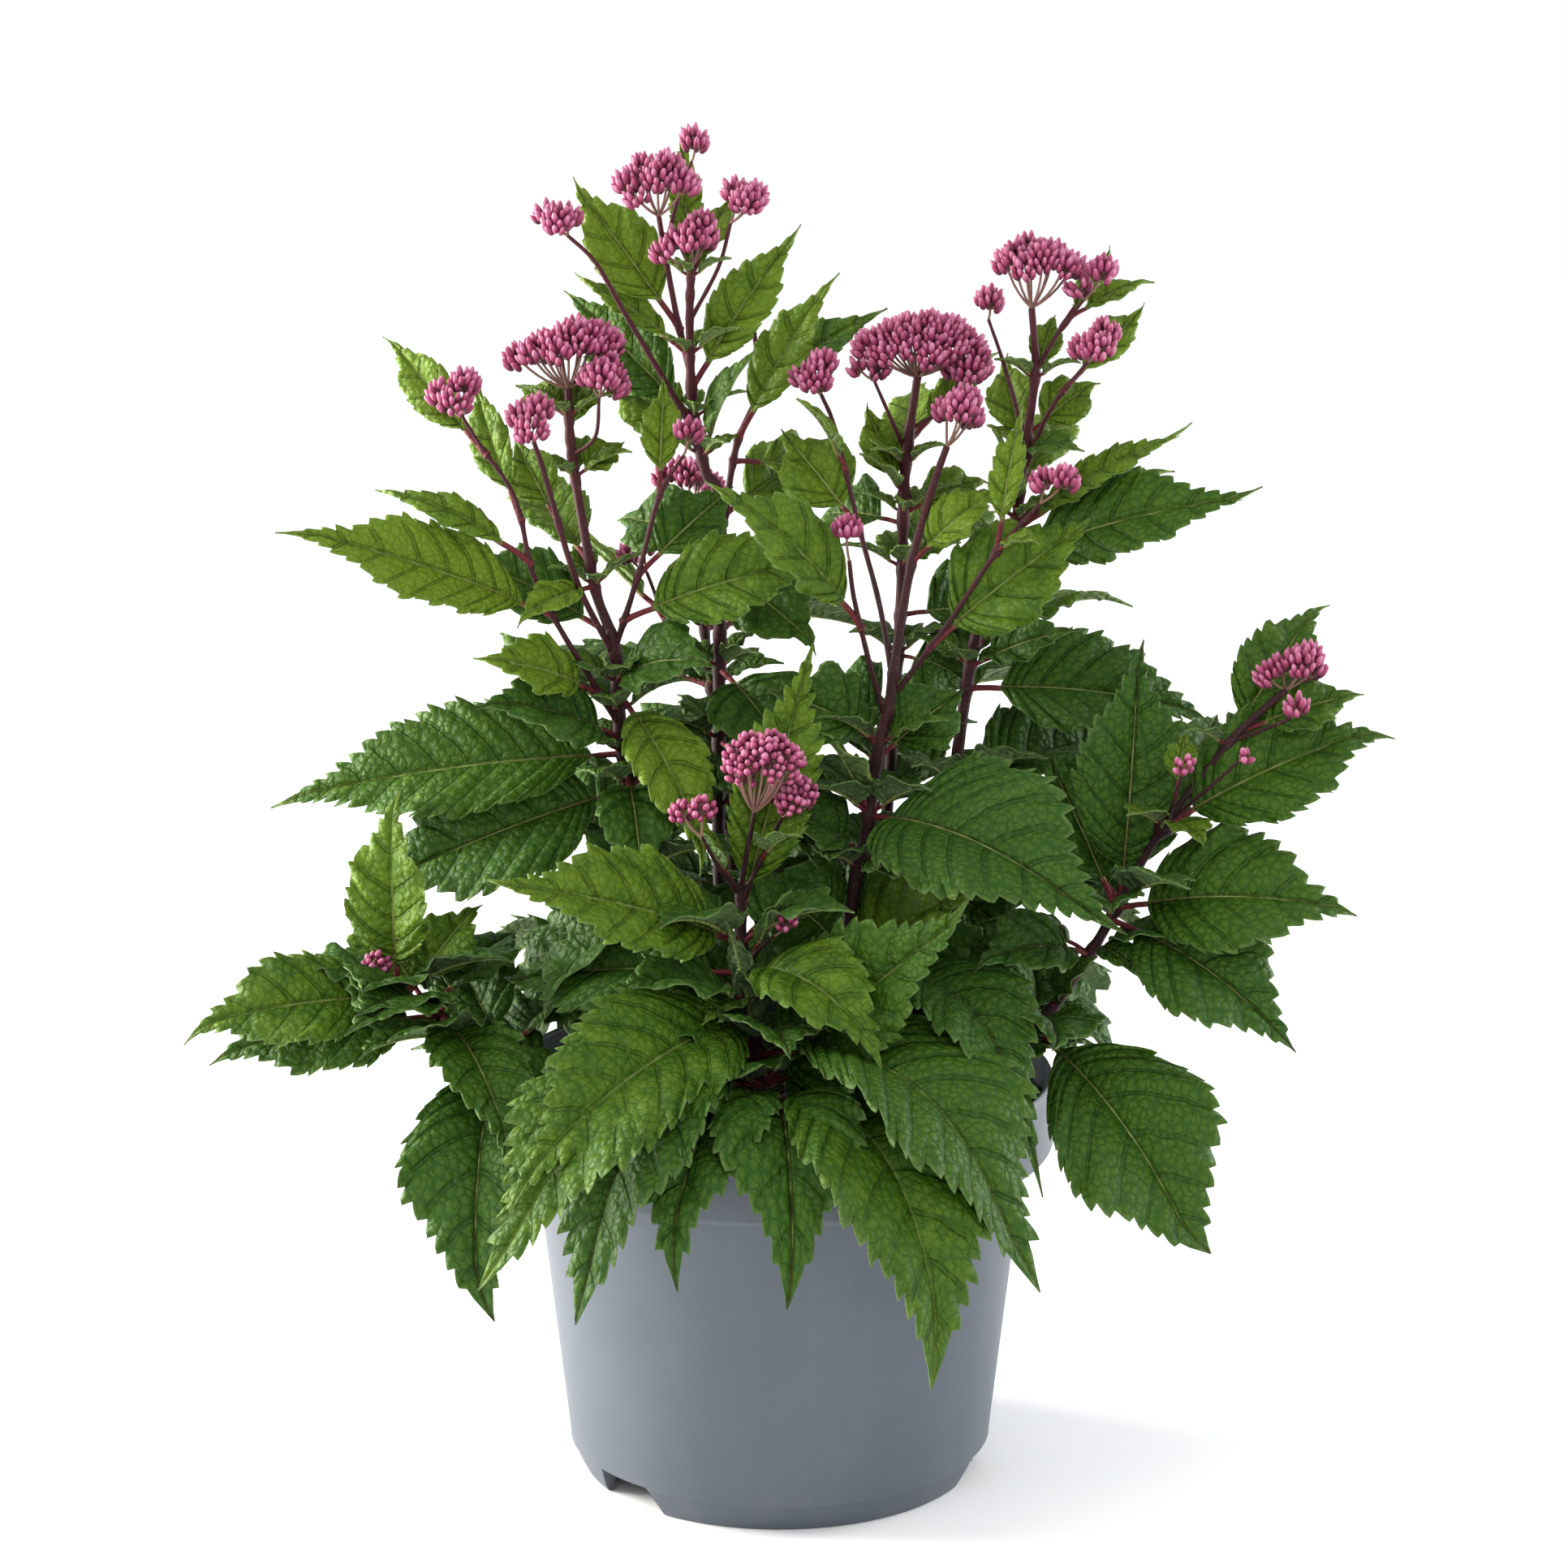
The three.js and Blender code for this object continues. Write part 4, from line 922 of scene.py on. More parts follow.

# %% [markdown]
# ## The plan of the plant
#
# The plan is the CAD's, so that every finer piece grows where its solid is. Six of its leaves were
# widened, turned or moved along their shoot after a look at the photograph. A branch has its radius
# at the foot and at the tip and the points it grows through. A leaf has its branch, its place along
# the branch's points, the place of its tip, its width, its arch, its turn about its own length, and
# a tone that the CAD has no use for, which paints light and shade into its green: 0 for the deep
# green of painted shade, and 2 for the fresh green of a young leaf and for painted light on a lit
# one. A cluster of buds has its branch, its centre and its half sizes.

# %% The plan, in millimetres and degrees
PLANT = {
    "front": {
        "branches": [
            ["main", 4.0, 3.2, [
                [-4, -50, 138], [-5, -50, 161], [-10, -50, 200], [-15, -48, 233], [-16, -46, 262],
            ]],
            ["a", 2.0, 1.4, [[-16, -46, 260], [-25, -54, 274], [-31, -60, 287]]],
            ["b", 2.4, 1.6, [[-16, -46, 260], [-13, -52, 279], [-10, -56, 296]]],
            ["c", 2.0, 1.4, [[-15, -46, 258], [-7, -46, 275], [1, -48, 292]]],
            ["d", 1.6, 1.2, [[-15, -48, 228], [-8, -58, 240], [-2, -64, 247]]],
        ],
        "leaves": [
            ["main", 3.2, -115, -95, 276, 42, 8, -45, 2],
            ["main", 2.2, -109, -145, 159, 52, 26, -30, 2],
            ["main", 1.8, -113, -150, 125, 48, 40, -15, 2],
            ["main", 1.5, -76, -150, 112, 50, 44, 0, 0],
            ["main", 1.2, -44, -155, 130, 46, 36, 0, 0],
            ["main", 1.8, 96, -142, 122, 56, 45, 6, 1],
            ["main", 1.2, 63, -165, 93, 60, 51, 0, 2],
            ["main", 2.8, 44, -110, 204, 36, 20, 20, 2],
            ["main", 1.8, -22, -66, 255, 15, 3, 0, 0],
            ["main", 2.4, -30, -84, 216, 16, 4, 0, 2],
            ["main", 1.8, 14, -80, 205, 14, 4, 0, 1],
            ["main", 2.8, -118, -8, 210, 46, 8, -40, 0],
            ["main", 1.9, -89, -62, 200, 44, 8, -30, 0],
            ["main", 3.6, 14, -18, 360, 28, 3, 45, 2],
            ["c", 0.9, 10, -66, 289, 20, 4, 0, 2],
            ["a", 0.3, -41, -52, 292, 20, 3, 0, 2],
            ["d", 0.5, 5, -58, 265, 14, 2, 0, 2],
        ],
    },
    "left": {
        "branches": [
            ["main", 4.4, 2.2, [
                [-42, 5, 138], [-50, 8, 220], [-65, 10, 305], [-68, 10, 349], [-76, 12, 375],
                [-85, 15, 429], [-86, 12, 457],
            ]],
            ["b", 2.6, 1.8, [[-68, 10, 346], [-83, 0, 380], [-95, -8, 425], [-99, -12, 439]]],
            ["c", 2.6, 1.3, [
                [-65, 10, 315], [-76, 4, 335], [-93, -2, 366], [-101, -6, 386], [-107, -8, 415],
                [-121, -8, 437], [-129, -10, 451],
            ]],
            ["d", 2.4, 1.4, [[-68, 10, 349], [-58, 4, 381], [-49, 4, 414], [-39, 2, 431]]],
            ["e", 1.8, 1.3, [[-85, 15, 429], [-75, 6, 438], [-73, 2, 455]]],
        ],
        "leaves": [
            ["main", 2.0, -214, 24, 280, 50, 8, -45, 1],
            ["main", 1.8, -176, 2, 246, 56, 6, -45, 0],
            ["c", 2.0, -202, -25, 406, 44, 6, -50, 2],
            ["c", 3.1, -165, 0, 417, 20, 8, -40, 1],
            ["c", 4.8, -161, 30, 477, 28, 4, -60, 2],
            ["c", 3.7, -125, 24, 461, 26, 3, -60, 1],
            ["c", 0.8, -124, -20, 351, 30, 6, -45, 2],
            ["main", 2.1, -123, -30, 335, 40, 6, -40, 0],
            ["main", 3.2, -136, 25, 387, 36, 6, -45, 0],
            ["main", 2.5, -28, -45, 268, 34, 10, 10, 2],
            ["main", 1.9, -56, -35, 260, 30, 8, 0, 0],
            ["main", 4.0, -107, -30, 367, 22, 4, -20, 2],
            ["main", 4.8, -63, 22, 433, 24, 3, 40, 2],
            ["main", 5.2, -80, 36, 462, 28, 2, 0, 1],
            ["main", 5.5, -107, 34, 455, 22, 2, -40, 2],
            ["b", 1.5, -109, 22, 435, 30, 3, -40, 1],
            ["d", 2.0, -47, 24, 461, 24, 2, 0, 2],
            ["d", 1.0, -19, 40, 412, 36, 4, 40, 0],
            ["d", 0.4, 25, 2, 388, 46, 8, 50, 1],
            ["main", 2.6, -25, -25, 350, 40, 8, 40, 0],
            ["main", 1.9, -19, 36, 292, 42, 6, 30, 0],
            ["main", 1.2, -110, 14, 180, 48, 8, -40, 0],
            ["main", 1.2, -19, -6, 222, 44, 6, 20, 0],
            ["main", 0.8, -132, 98, 188, 54, 16, 12, 0],
            ["main", 1.5, -160, 92, 264, 56, 12, -14, 1],
            ["main", 2.3, -122, 112, 330, 48, 8, 10, 1],
            ["main", 4.2, -115, 95, 412, 38, 4, -12, 1],
        ],
    },
    "tall": {
        "branches": [
            ["main", 4.4, 2.0, [
                [-22, 45, 138], [-26, 44, 260], [-25, 40, 396], [-31, 40, 419], [-36, 40, 446],
                [-37, 36, 480], [-36, 24, 505],
            ]],
            ["b", 2.6, 1.8, [[-36, 40, 456], [-42, 40, 481], [-47, 30, 511], [-49, 22, 526]]],
            ["c", 2.6, 1.4, [
                [-35, 40, 434], [-49, 34, 460], [-64, 28, 487], [-75, 24, 507], [-86, 22, 518],
            ]],
            ["d", 2.8, 1.8, [[-24, 40, 393], [-18, 48, 428], [-9, 54, 451], [-11, 60, 478]]],
            ["e", 1.8, 1.3, [[-36, 38, 483], [-25, 34, 504], [-20, 32, 522]]],
            ["f", 1.8, 1.3, [[-47, 30, 511], [-41, 42, 533], [-36, 44, 546]]],
        ],
        "leaves": [
            ["main", 4.2, 10, 46, 520, 36, 6, 60, 1],
            ["d", 1.1, 24, 44, 501, 34, 4, 62, 1],
            ["d", 1.9, 45, 56, 484, 28, 4, 40, 0],
            ["b", 0.9, -87, 54, 538, 42, 4, -60, 2],
            ["main", 4.6, -86, 50, 499, 20, 4, -40, 1],
            ["main", 3.8, -90, 84, 489, 46, 4, -55, 0],
            ["main", 5.5, -41, 70, 559, 20, 2, 0, 2],
            ["main", 5.8, -18, 54, 532, 22, 2, 10, 2],
            ["main", 3.2, -9, 20, 472, 34, 4, 50, 0],
            ["d", 0.8, 27, 74, 406, 44, 6, 45, 1],
            ["main", 3.4, -70, 66, 453, 40, 4, -45, 1],
            ["d", 0.2, 14, 92, 418, 42, 4, 45, 1],
            ["main", 1.9, -69, 76, 392, 44, 6, -45, 0],
            ["main", 1.8, 17, 4, 350, 44, 6, 40, 0],
            ["main", 1.5, 8, -6, 298, 46, 8, 20, 0],
            ["main", 1.6, 16, 146, 362, 50, 8, 12, 0],
            ["main", 1.1, -104, 112, 252, 54, 12, 10, 0],
            ["main", 1.3, 15, -15, 262, 46, 8, 0, 0],
        ],
    },
    "centre": {
        "branches": [
            ["main", 4.6, 2.0, [
                [22, -5, 138], [25, -4, 200], [31, -5, 253], [36, -4, 275], [41, -2, 311],
                [45, 0, 327], [48, 4, 350], [54, 8, 385], [62, 10, 415], [68, 6, 434],
            ]],
            ["b", 2.4, 1.5, [[43, 0, 324], [36, -10, 350], [30, -22, 377], [28, -28, 393]]],
            ["c", 2.4, 1.5, [[49, 2, 334], [70, -6, 365], [88, -12, 394], [105, -14, 414]]],
            ["d", 2.4, 1.4, [
                [46, 2, 341], [41, 12, 368], [32, 22, 401], [23, 26, 438], [17, 24, 453],
            ]],
        ],
        "leaves": [
            ["b", 1.5, -30, -36, 426, 44, 8, -50, 1],
            ["c", 0.6, 129, -4, 406, 52, 6, 55, 1],
            ["main", 3.2, 134, -95, 254, 64, 18, 30, 0],
            ["main", 3.2, 16, -24, 323, 26, 3, -20, 2],
            ["main", 3.8, 77, 14, 331, 34, 4, 40, 0],
            ["main", 7.0, 92, 4, 418, 30, 4, 45, 2],
            ["main", 1.2, 81, -40, 261, 50, 4, 55, 2],
            ["main", 0.7, 103, -62, 217, 52, 12, 35, 1],
            ["main", 0.9, 103, -104, 149, 46, 53, 2, 0],
            ["c", 2.0, 104, -34, 402, 16, 3, 20, 2],
            ["c", 2.0, 99, 6, 451, 20, 2, 0, 2],
            ["d", 2.5, 7, 8, 454, 26, 3, -30, 2],
            ["d", 1.9, 0, 44, 435, 44, 4, -45, 1],
            ["main", 2.5, -2, -14, 284, 34, 6, -30, 0],
            ["main", 2.2, 69, -55, 268, 26, 6, 20, 0],
            ["main", 4.0, -5, -4, 334, 40, 6, -40, 0],
        ],
    },
    "high": {
        "branches": [
            ["main", 4.0, 2.4, [
                [40, 60, 138], [45, 60, 250], [51, 58, 354], [52, 52, 406], [54, 46, 434],
                [57, 40, 458],
            ]],
            ["b", 1.8, 1.3, [[53, 50, 424], [45, 40, 443], [39, 36, 457]]],
            ["c", 1.8, 1.3, [[54, 46, 435], [69, 44, 445], [75, 42, 459]]],
        ],
        "leaves": [
            ["main", 3.0, 35, 66, 443, 28, 3, -40, 2],
            ["main", 3.0, 33, 34, 427, 24, 3, -20, 2],
            ["main", 2.8, 88, 66, 411, 30, 4, 45, 1],
            ["main", 3.8, 92, 72, 465, 22, 3, 30, 1],
            ["main", 2.7, 17, 84, 391, 44, 6, -40, 0],
            ["main", 2.0, 96, 86, 348, 46, 6, 45, 0],
            ["main", 1.5, 14, 70, 316, 44, 4, -40, 0],
            ["main", 1.8, 82, 50, 324, 44, 6, 40, 0],
            ["main", 1.5, 126, 134, 306, 54, 12, -12, 1],
            ["main", 1.3, 2, 140, 278, 50, 12, 14, 0],
            ["main", 0.8, 118, 148, 196, 54, 20, -8, 1],
            ["main", 2.3, 92, 138, 392, 44, 6, 16, 1],
            ["main", 3.4, 62, 112, 446, 34, 4, -16, 2],
            ["main", 0.6, 35, 160, 165, 54, 26, 8, 1],
        ],
    },
    "right": {
        "branches": [
            ["main", 4.2, 2.0, [
                [72, 30, 138], [70, 34, 240], [81, 36, 344], [96, 34, 386], [101, 32, 427],
                [105, 30, 461], [103, 26, 488],
            ]],
            ["b", 2.2, 1.4, [[102, 32, 422], [111, 22, 447], [125, 10, 468]]],
            ["c", 1.9, 1.3, [[105, 30, 461], [114, 26, 478], [124, 22, 492]]],
            ["d", 1.9, 1.3, [[101, 32, 434], [93, 36, 462], [86, 38, 482]]],
        ],
        "leaves": [
            ["main", 1.8, 183, 36, 314, 50, 10, 45, 0],
            ["main", 2.9, 196, -5, 415, 50, 8, 50, 0],
            ["main", 1.9, 124, 14, 357, 22, 4, 50, 0],
            ["main", 4.0, 94, 66, 464, 30, 2, -30, 2],
            ["main", 3.3, 88, 18, 440, 24, 2, -30, 2],
            ["main", 4.2, 132, 44, 456, 32, 4, 50, 1],
            ["main", 4.0, 123, 0, 433, 24, 4, 30, 0],
            ["main", 3.2, 169, 12, 440, 24, 5, 40, 1],
            ["main", 3.3, 165, 48, 418, 26, 5, 40, 1],
            ["b", 1.4, 152, 44, 487, 24, 3, 40, 2],
            ["c", 1.4, 153, 40, 498, 16, 3, 30, 1],
            ["c", 1.2, 139, 60, 509, 14, 2, 20, 1],
            ["main", 4.9, 114, 50, 483, 20, 2, 20, 2],
            ["main", 1.2, 132, 80, 250, 50, 8, 40, 0],
            ["main", 1.2, 114, 24, 240, 46, 8, 30, 0],
            ["main", 0.9, 166, 88, 200, 54, 18, -12, 0],
            ["main", 1.4, 186, 94, 290, 56, 12, 20, 0],
            ["main", 2.0, 150, 116, 350, 46, 8, -4, 1],
            ["main", 3.6, 125, 105, 437, 34, 4, 12, 2],
        ],
    },
    "low_right": {
        "branches": [
            ["main", 4.0, 2.0, [
                [58, -20, 138], [66, -24, 175], [102, -26, 194], [127, -24, 228], [138, -22, 247],
                [157, -20, 281], [185, -16, 317], [206, -17, 338],
            ]],
            ["b", 1.8, 1.3, [[184, -16, 316], [197, -24, 323], [207, -30, 329]]],
            ["c", 1.6, 1.2, [[157, -20, 280], [160, -34, 296], [162, -42, 308]]],
            ["d", 1.6, 1.2, [[160, -20, 284], [174, -34, 301], [185, -42, 314]]],
        ],
        "leaves": [
            ["main", 4.1, 147, 4, 355, 44, 4, 30, 0],
            ["main", 5.0, 251, -4, 319, 44, 10, 45, 1],
            ["main", 4.0, 235, -45, 251, 50, 12, 45, 1],
            ["main", 3.8, 209, -60, 196, 46, 16, 40, 0],
            ["main", 2.1, 170, -75, 113, 54, 22, 35, 1],
            ["main", 6.1, 239, -6, 334, 24, 4, 45, 1],
            ["main", 5.9, 226, 34, 366, 30, 4, 30, 1],
            ["main", 5.0, 140, -44, 292, 16, 3, 0, 2],
            ["main", 5.0, 172, -48, 280, 18, 4, 0, 2],
            ["c", 1.2, 166, -16, 321, 12, 2, 0, 2],
            ["main", 3.1, 147, -52, 225, 12, 6, 20, 0],
            ["main", 2.3, 130, -34, 230, 22, 3, 30, 1],
            ["main", 2.1, 128, -54, 202, 20, 4, 20, 1],
            ["main", 3.0, 77, -60, 233, 30, 8, -30, 0],
            ["main", 4.0, 111, 18, 303, 44, 4, -30, 0],
            ["main", 5.0, 184, 34, 317, 36, 4, 30, 0],
        ],
    },
    "low_left": {
        "branches": [
            ["main", 3.6, 1.8, [
                [-62, -20, 138], [-76, -22, 168], [-101, -22, 178], [-121, -22, 191],
                [-140, -22, 201], [-157, -24, 211], [-166, -29, 220],
            ]],
        ],
        "leaves": [
            ["main", 4.8, -244, -50, 202, 36, 10, -45, 2],
            ["main", 4.0, -234, -42, 188, 40, 10, -45, 1],
            ["main", 4.0, -105, -106, 163, 34, 12, 0, 1],
            ["main", 4.8, -125, 2, 243, 24, 3, 30, 2],
            ["main", 5.0, -156, -38, 303, 32, 3, 150, 2],
            ["main", 4.2, -180, 14, 243, 28, 3, -30, 2],
            ["main", 2.6, -120, -110, 100, 46, 26, 5, 0],
            ["main", 2.6, -138, 34, 211, 36, 4, -30, 0],
        ],
    },
    "back": {
        "branches": [
            ["main", 4.0, 2.4, [[-12, 88, 138], [-20, 98, 230], [-32, 110, 330], [-38, 116, 390]]],
            ["b", 2.0, 1.4, [[-30, 108, 312], [-48, 112, 338], [-58, 116, 362]]],
        ],
        "leaves": [
            ["main", 0.8, -104, 160, 184, 54, 22, -10, 1],
            ["main", 0.9, 48, 172, 220, 54, 18, 12, 0],
            ["main", 1.5, -28, 190, 276, 54, 14, -12, 1],
            ["main", 1.8, -118, 160, 306, 46, 10, 12, 1],
            ["main", 2.1, 45, 162, 326, 44, 8, -14, 2],
            ["b", 1.2, -105, 130, 385, 26, 4, 14, 2],
        ],
    },
}

# Flower heads: [name, stem, clusters that have grown together], and a cluster is
# [the branch that carries it, centre x, y, z, half size along x, y, z].
HEADS = [
    ["front_low", "front", [["a", -35, -62, 297, 11, 10, 8]]],
    ["front_main", "front", [["b", -7, -60, 317, 17, 14, 14], ["c", 5, -52, 300, 13, 11, 10]]],
    ["front_side", "front", [["d", 1, -66, 253, 7, 6, 7]]],
    ["left_main", "left", [["main", -86, 12, 472, 24, 19, 12], ["e", -72, 0, 463, 14, 12, 9]]],
    ["left_second", "left", [["b", -100, -14, 447, 13, 12, 11]]],
    ["left_outer", "left", [["c", -131, -10, 458, 15, 10, 9]]],
    ["left_inner", "left", [["d", -37, 0, 438, 8, 8, 8]]],
    ["tall_main", "tall", [["main", -36, 22, 514, 16, 12, 12]]],
    ["tall_second", "tall", [["b", -50, 20, 537, 20, 13, 14]]],
    ["tall_outer", "tall", [["c", -90, 20, 526, 14, 11, 8]]],
    ["tall_right", "tall", [["e", -14, 30, 534, 13, 11, 8]]],
    ["tall_top", "tall", [["f", -35, 44, 552, 10, 9, 8]]],
    ["tall_young", "tall", [["d", -11, 61, 484, 5, 5, 5]]],
    ["centre_main", "centre", [["main", 72, 4, 447, 14, 13, 12]]],
    ["centre_low", "centre", [["b", 27, -30, 402, 9, 8, 9]]],
    ["centre_right", "centre", [["c", 111, -14, 422, 12, 11, 11]]],
    ["centre_inner", "centre", [["d", 14, 22, 462, 13, 11, 8]]],
    ["high_main", "high", [
        ["main", 57, 40, 470, 27, 20, 13],
        ["b", 37, 36, 462, 11, 9, 7],
        ["c", 77, 38, 461, 14, 12, 10],
    ]],
    ["right_main", "right", [["main", 106, 26, 505, 19, 16, 12], ["c", 127, 20, 500, 13, 10, 9]]],
    ["right_outer", "right", [["b", 128, 8, 474, 14, 11, 11]]],
    ["right_inner", "right", [["d", 86, 38, 487, 11, 9, 8]]],
    ["low_right_main", "low_right", [["main", 210, -18, 346, 17, 12, 11]]],
    ["low_right_under", "low_right", [["b", 209, -32, 332, 11, 8, 7]]],
    ["low_right_first", "low_right", [["c", 161, -44, 312, 7, 6, 6]]],
    ["low_right_second", "low_right", [["d", 187, -44, 316, 4, 4, 4]]],
    ["low_left_main", "low_left", [["main", -169, -30, 225, 10, 8, 8]]],
    ["back_main", "back", [["main", -40, 118, 402, 16, 14, 11]]],
    ["back_second", "back", [["b", -62, 118, 371, 11, 10, 8]]],
]
planned = {stem: len(plan["leaves"]) for stem, plan in PLANT.items()}
print("Leaves in the plan:", planned, "and heads:", len(HEADS))

# %% [markdown]
# ## Growing along a branch
#
# Both stems and leaves need the place and direction of a point that is so far along a branch. The
# CAD carries its leaves on a Catmull-Rom curve through the branch's points, which passes through
# each point with a smooth turn, and the same curve is used here.


# %% Curves
def unit(vectors):
    vectors = np.asarray(vectors, dtype=float)
    return vectors / np.linalg.norm(vectors, axis=-1, keepdims=True)


def grown_to(points, place):
    """The point of a Catmull-Rom curve, where whole places are the curve's own points."""
    p = np.asarray(points, dtype=float)
    p = np.vstack([2 * p[0] - p[1], p, 2 * p[-1] - p[-2]])
    i = min(int(place), len(p) - 4)
    f = place - i
    a, b, c, d = p[i : i + 4]
    start, end = (c - a) / 2, (d - b) / 2
    bent = b * (2 * f**3 - 3 * f**2 + 1) + c * (3 * f**2 - 2 * f**3)
    return bent + start * (f**3 - 2 * f**2 + f) + end * (f**3 - f**2)


def branch_named(stem, name):
    return next(branch for branch in PLANT[stem]["branches"] if branch[0] == name)


# %% [markdown]
# ## Stems
#
# Each shoot is a tube that tapers, with a swollen joint where a pair of leaves or a side shoot
# leaves it. A curve with a radius at each point, swept with a round profile, is the natural way:
# the points go into a mesh of single edges, and a tree turns them into curves, sweeps them, and
# shifts the skin a little so that no tube is perfectly round. The CAD's branches are a little
# stouter than real ones, to be sound solids, so they are slimmed here. A main shoot that ends where
# it forks also thins towards the fork, so that no blunt end shows there.

# %% Stem sizes
STEM_STEP = 2.5  # distance between points along a shoot
SLIM = 0.7  # a main shoot's share of its CAD radius
SLIM_SIDE = 0.54  # and a side shoot's
JOINT_SWELL = 0.6  # how far a joint stands out
JOINT_LENGTH = 2.6
FORK_NEAR = 6  # a shoot that ends nearer than this to a fork ends in it
FORK_TAPER = 0.45  # share of its radius that it loses there
FORK_LENGTH = 7


# %% Stem tree
def stem_tree():
    nodes, given = new_tree(
        "stems",
        Sides=("Int", 12),
        Wobble=("Float", 0.0005),
        Finish=("Material", None),
    )
    curves = nodes.add("GeometryNodeMeshToCurve", None, {"Mesh": given})
    tube = nodes.swept(curves, given.of("Sides"), Scale=nodes.carried("thickness", "FLOAT"))
    uneven = nodes.noise(nodes.position(), 130.0, 2.0) - 0.5
    push = nodes.scaled(nodes.normal(), uneven * given.of("Wobble"))
    return finish_tree(nodes, nodes.shifted(tube, push), given.of("Finish"))


# %% Make the stems
def side_shoots(stem, name):
    """Where the stem's other branches start."""
    return [np.array(branch[3][0]) for branch in PLANT[stem]["branches"] if branch[0] != name]


def joints_of(stem, name):
    """Where along a branch its leaves and side shoots leave it, as points."""
    points = branch_named(stem, name)[3]
    places = [leaf[1] for leaf in PLANT[stem]["leaves"] if leaf[0] == name]
    return [grown_to(points, place) for place in places] + side_shoots(stem, name)


def shoot_points(stem, name):
    """A branch's points every few millimetres, with the radius at each."""
    foot, tip, points = branch_named(stem, name)[1:]
    lengths = np.linalg.norm(np.diff(points, axis=0), axis=1)
    places = []
    for i, length in enumerate(lengths):
        places += list(i + np.arange(0, 1, STEM_STEP / length))
    places.append(len(lengths))
    line = np.array([grown_to(points, place) for place in places])
    slim = SLIM if name == "main" else SLIM_SIDE
    radius = slim * (foot + (tip - foot) * np.array(places) / len(lengths))
    for joint in joints_of(stem, name):
        near = np.linalg.norm(line - joint, axis=1) / JOINT_LENGTH
        radius = radius + JOINT_SWELL * np.exp(-(near**2))
    if any(math.dist(fork, points[-1]) < FORK_NEAR for fork in side_shoots(stem, name)):
        near = np.linalg.norm(line - line[-1], axis=1) / FORK_LENGTH
        radius *= 1 - FORK_TAPER * np.exp(-(near**2))
    return line, radius


def make_stems(stem, tree):
    line, radius, edges = [], [], []
    for name, *_ in PLANT[stem]["branches"]:
        first = len(line)
        points, radii = shoot_points(stem, name)
        line += list(points)
        radius += list(radii * MM)
        edges += [(k, k + 1) for k in range(first, len(line) - 1)]
    source = mesh_from("stem_lines", line, [], edges, thickness=radius)
    mesh = grown("stems_" + stem, source, tree, Finish=stem_bark)
    return piece("stems_" + stem, mesh, ["leafy_stem_" + stem])


stems = stem_tree()
print("Stems:", {stem: make_stems(stem, stems) for stem in PLANT})

# %% [markdown]
# ## Leaves
#
# A blade is a thin sheet with a rule: its rows follow the side veins, which leave the midrib, bend
# forward and end in the saw teeth of the edge. So the sheet is made of such rows in mesh code,
# rather than as a flat grid that is bent later: pillows, grooves and teeth then lie along the rows
# by themselves. The sheet arches from stalk to tip over the CAD's curve, rises from the midrib on
# both sides, and its edge waves and turns down. The underside is the same sheet a half millimetre
# lower, and a rounded rib runs below it, out of the stalk.
#
# A leaf's shape goes with its place. One that hangs over the rim is broad to near its tip, and one
# at the top is young, narrow and pale. What differs from leaf to leaf is drawn with a fixed seed.

# %% Leaf sizes
STALK = 14  # length of a leaf's stalk
STALK_RADIUS = 1.25
RIB_RINGS = 8
RIB_END = 0.93  # share of the blade that the rib below it reaches
BLADE = 0.5  # thickness
THINNEST = 0.2  # half a blade's width where it is narrowest
FOLD = math.tan(math.radians(20))  # how the halves rise from the midrib
VEIN_PITCH = 10.5  # from one side vein to the next
VEIN_SLANT = 0.85  # of a side vein: forward for each step to the side
CREST = 1.3  # how fast a side vein bends forward
PILLOW = 1.9  # the highest pillow
SWAY = 0.045  # of the edge over the blade's length, as a share of its width
CURL = 1.8  # of the edge from vein to vein, at most
TIP_FROM = 0.8  # from here on the tip droops and turns aside
MIDRIB_SUNK = 0.35
ACROSS = np.array([0, 0.06, 0.2, 0.4, 0.6, 0.8, 0.93, 1.0])  # from midrib to edge
ACROSS_SMALL = np.array([0, 0.25, 0.6, 0.88, 1.0])
SMALL_BLADE = 48  # the longest blade that has few columns
LEAF_APART = 37  # so that no two leaves show the same net

# %% Leaf sizes that go with its place
WIDER = 1.16  # a low blade is fuller than the CAD's facets
YOUNG_NARROWER = 0.46
HANGING_WIDER = 0.14
YOUNG_BETWEEN = (280, 410)  # heights of the leaf's foot
HANGS_BETWEEN = (150, 120)  # heights of its tip
draw = np.random.default_rng(11)


def between(value, start, end):
    """How far a value has come from start to end, from 0 to 1."""
    return min(max((value - start) / (end - start), 0.0), 1.0)


def outline(share, hangs, young):
    """Half a blade's width at a share of its length, where 1 is the broadest.

    The powers of the two shares put the broadest place below the middle, and a drip tip is drawn
    out. A hanging blade is broadest nearer its middle, and a young one is lance shaped.
    """
    a = 0.7 + 0.33 * hangs + 0.15 * young
    b = 1.25 - 0.17 * hangs + 0.15 * young
    highest = (a / (a + b)) ** a * (b / (a + b)) ** b
    drawn_out = np.clip((share - 0.6) / 0.3, 0, 1)
    narrower = (0.5 - 0.1 * hangs) * drawn_out * (2 - drawn_out)
    return share**a * (1 - share) ** b / highest * (1 - narrower)


# %% Saw teeth
TEETH_PER_MM = 0.145  # on each side
FEWEST = 4  # of teeth on a side, and of side veins
TEETH_FROM = 0.035  # shares of the blade
TEETH_TO = 0.89
TOOTH = [(0.0, -1.0), (0.28, 0.0), (0.56, 0.7), (0.84, 1.0)]  # its notch, its back and its point
TOOTH_DEPTH = 0.0135  # to each side of the outline, as a share of the blade's length
YOUNG_SMOOTHER = 0.45


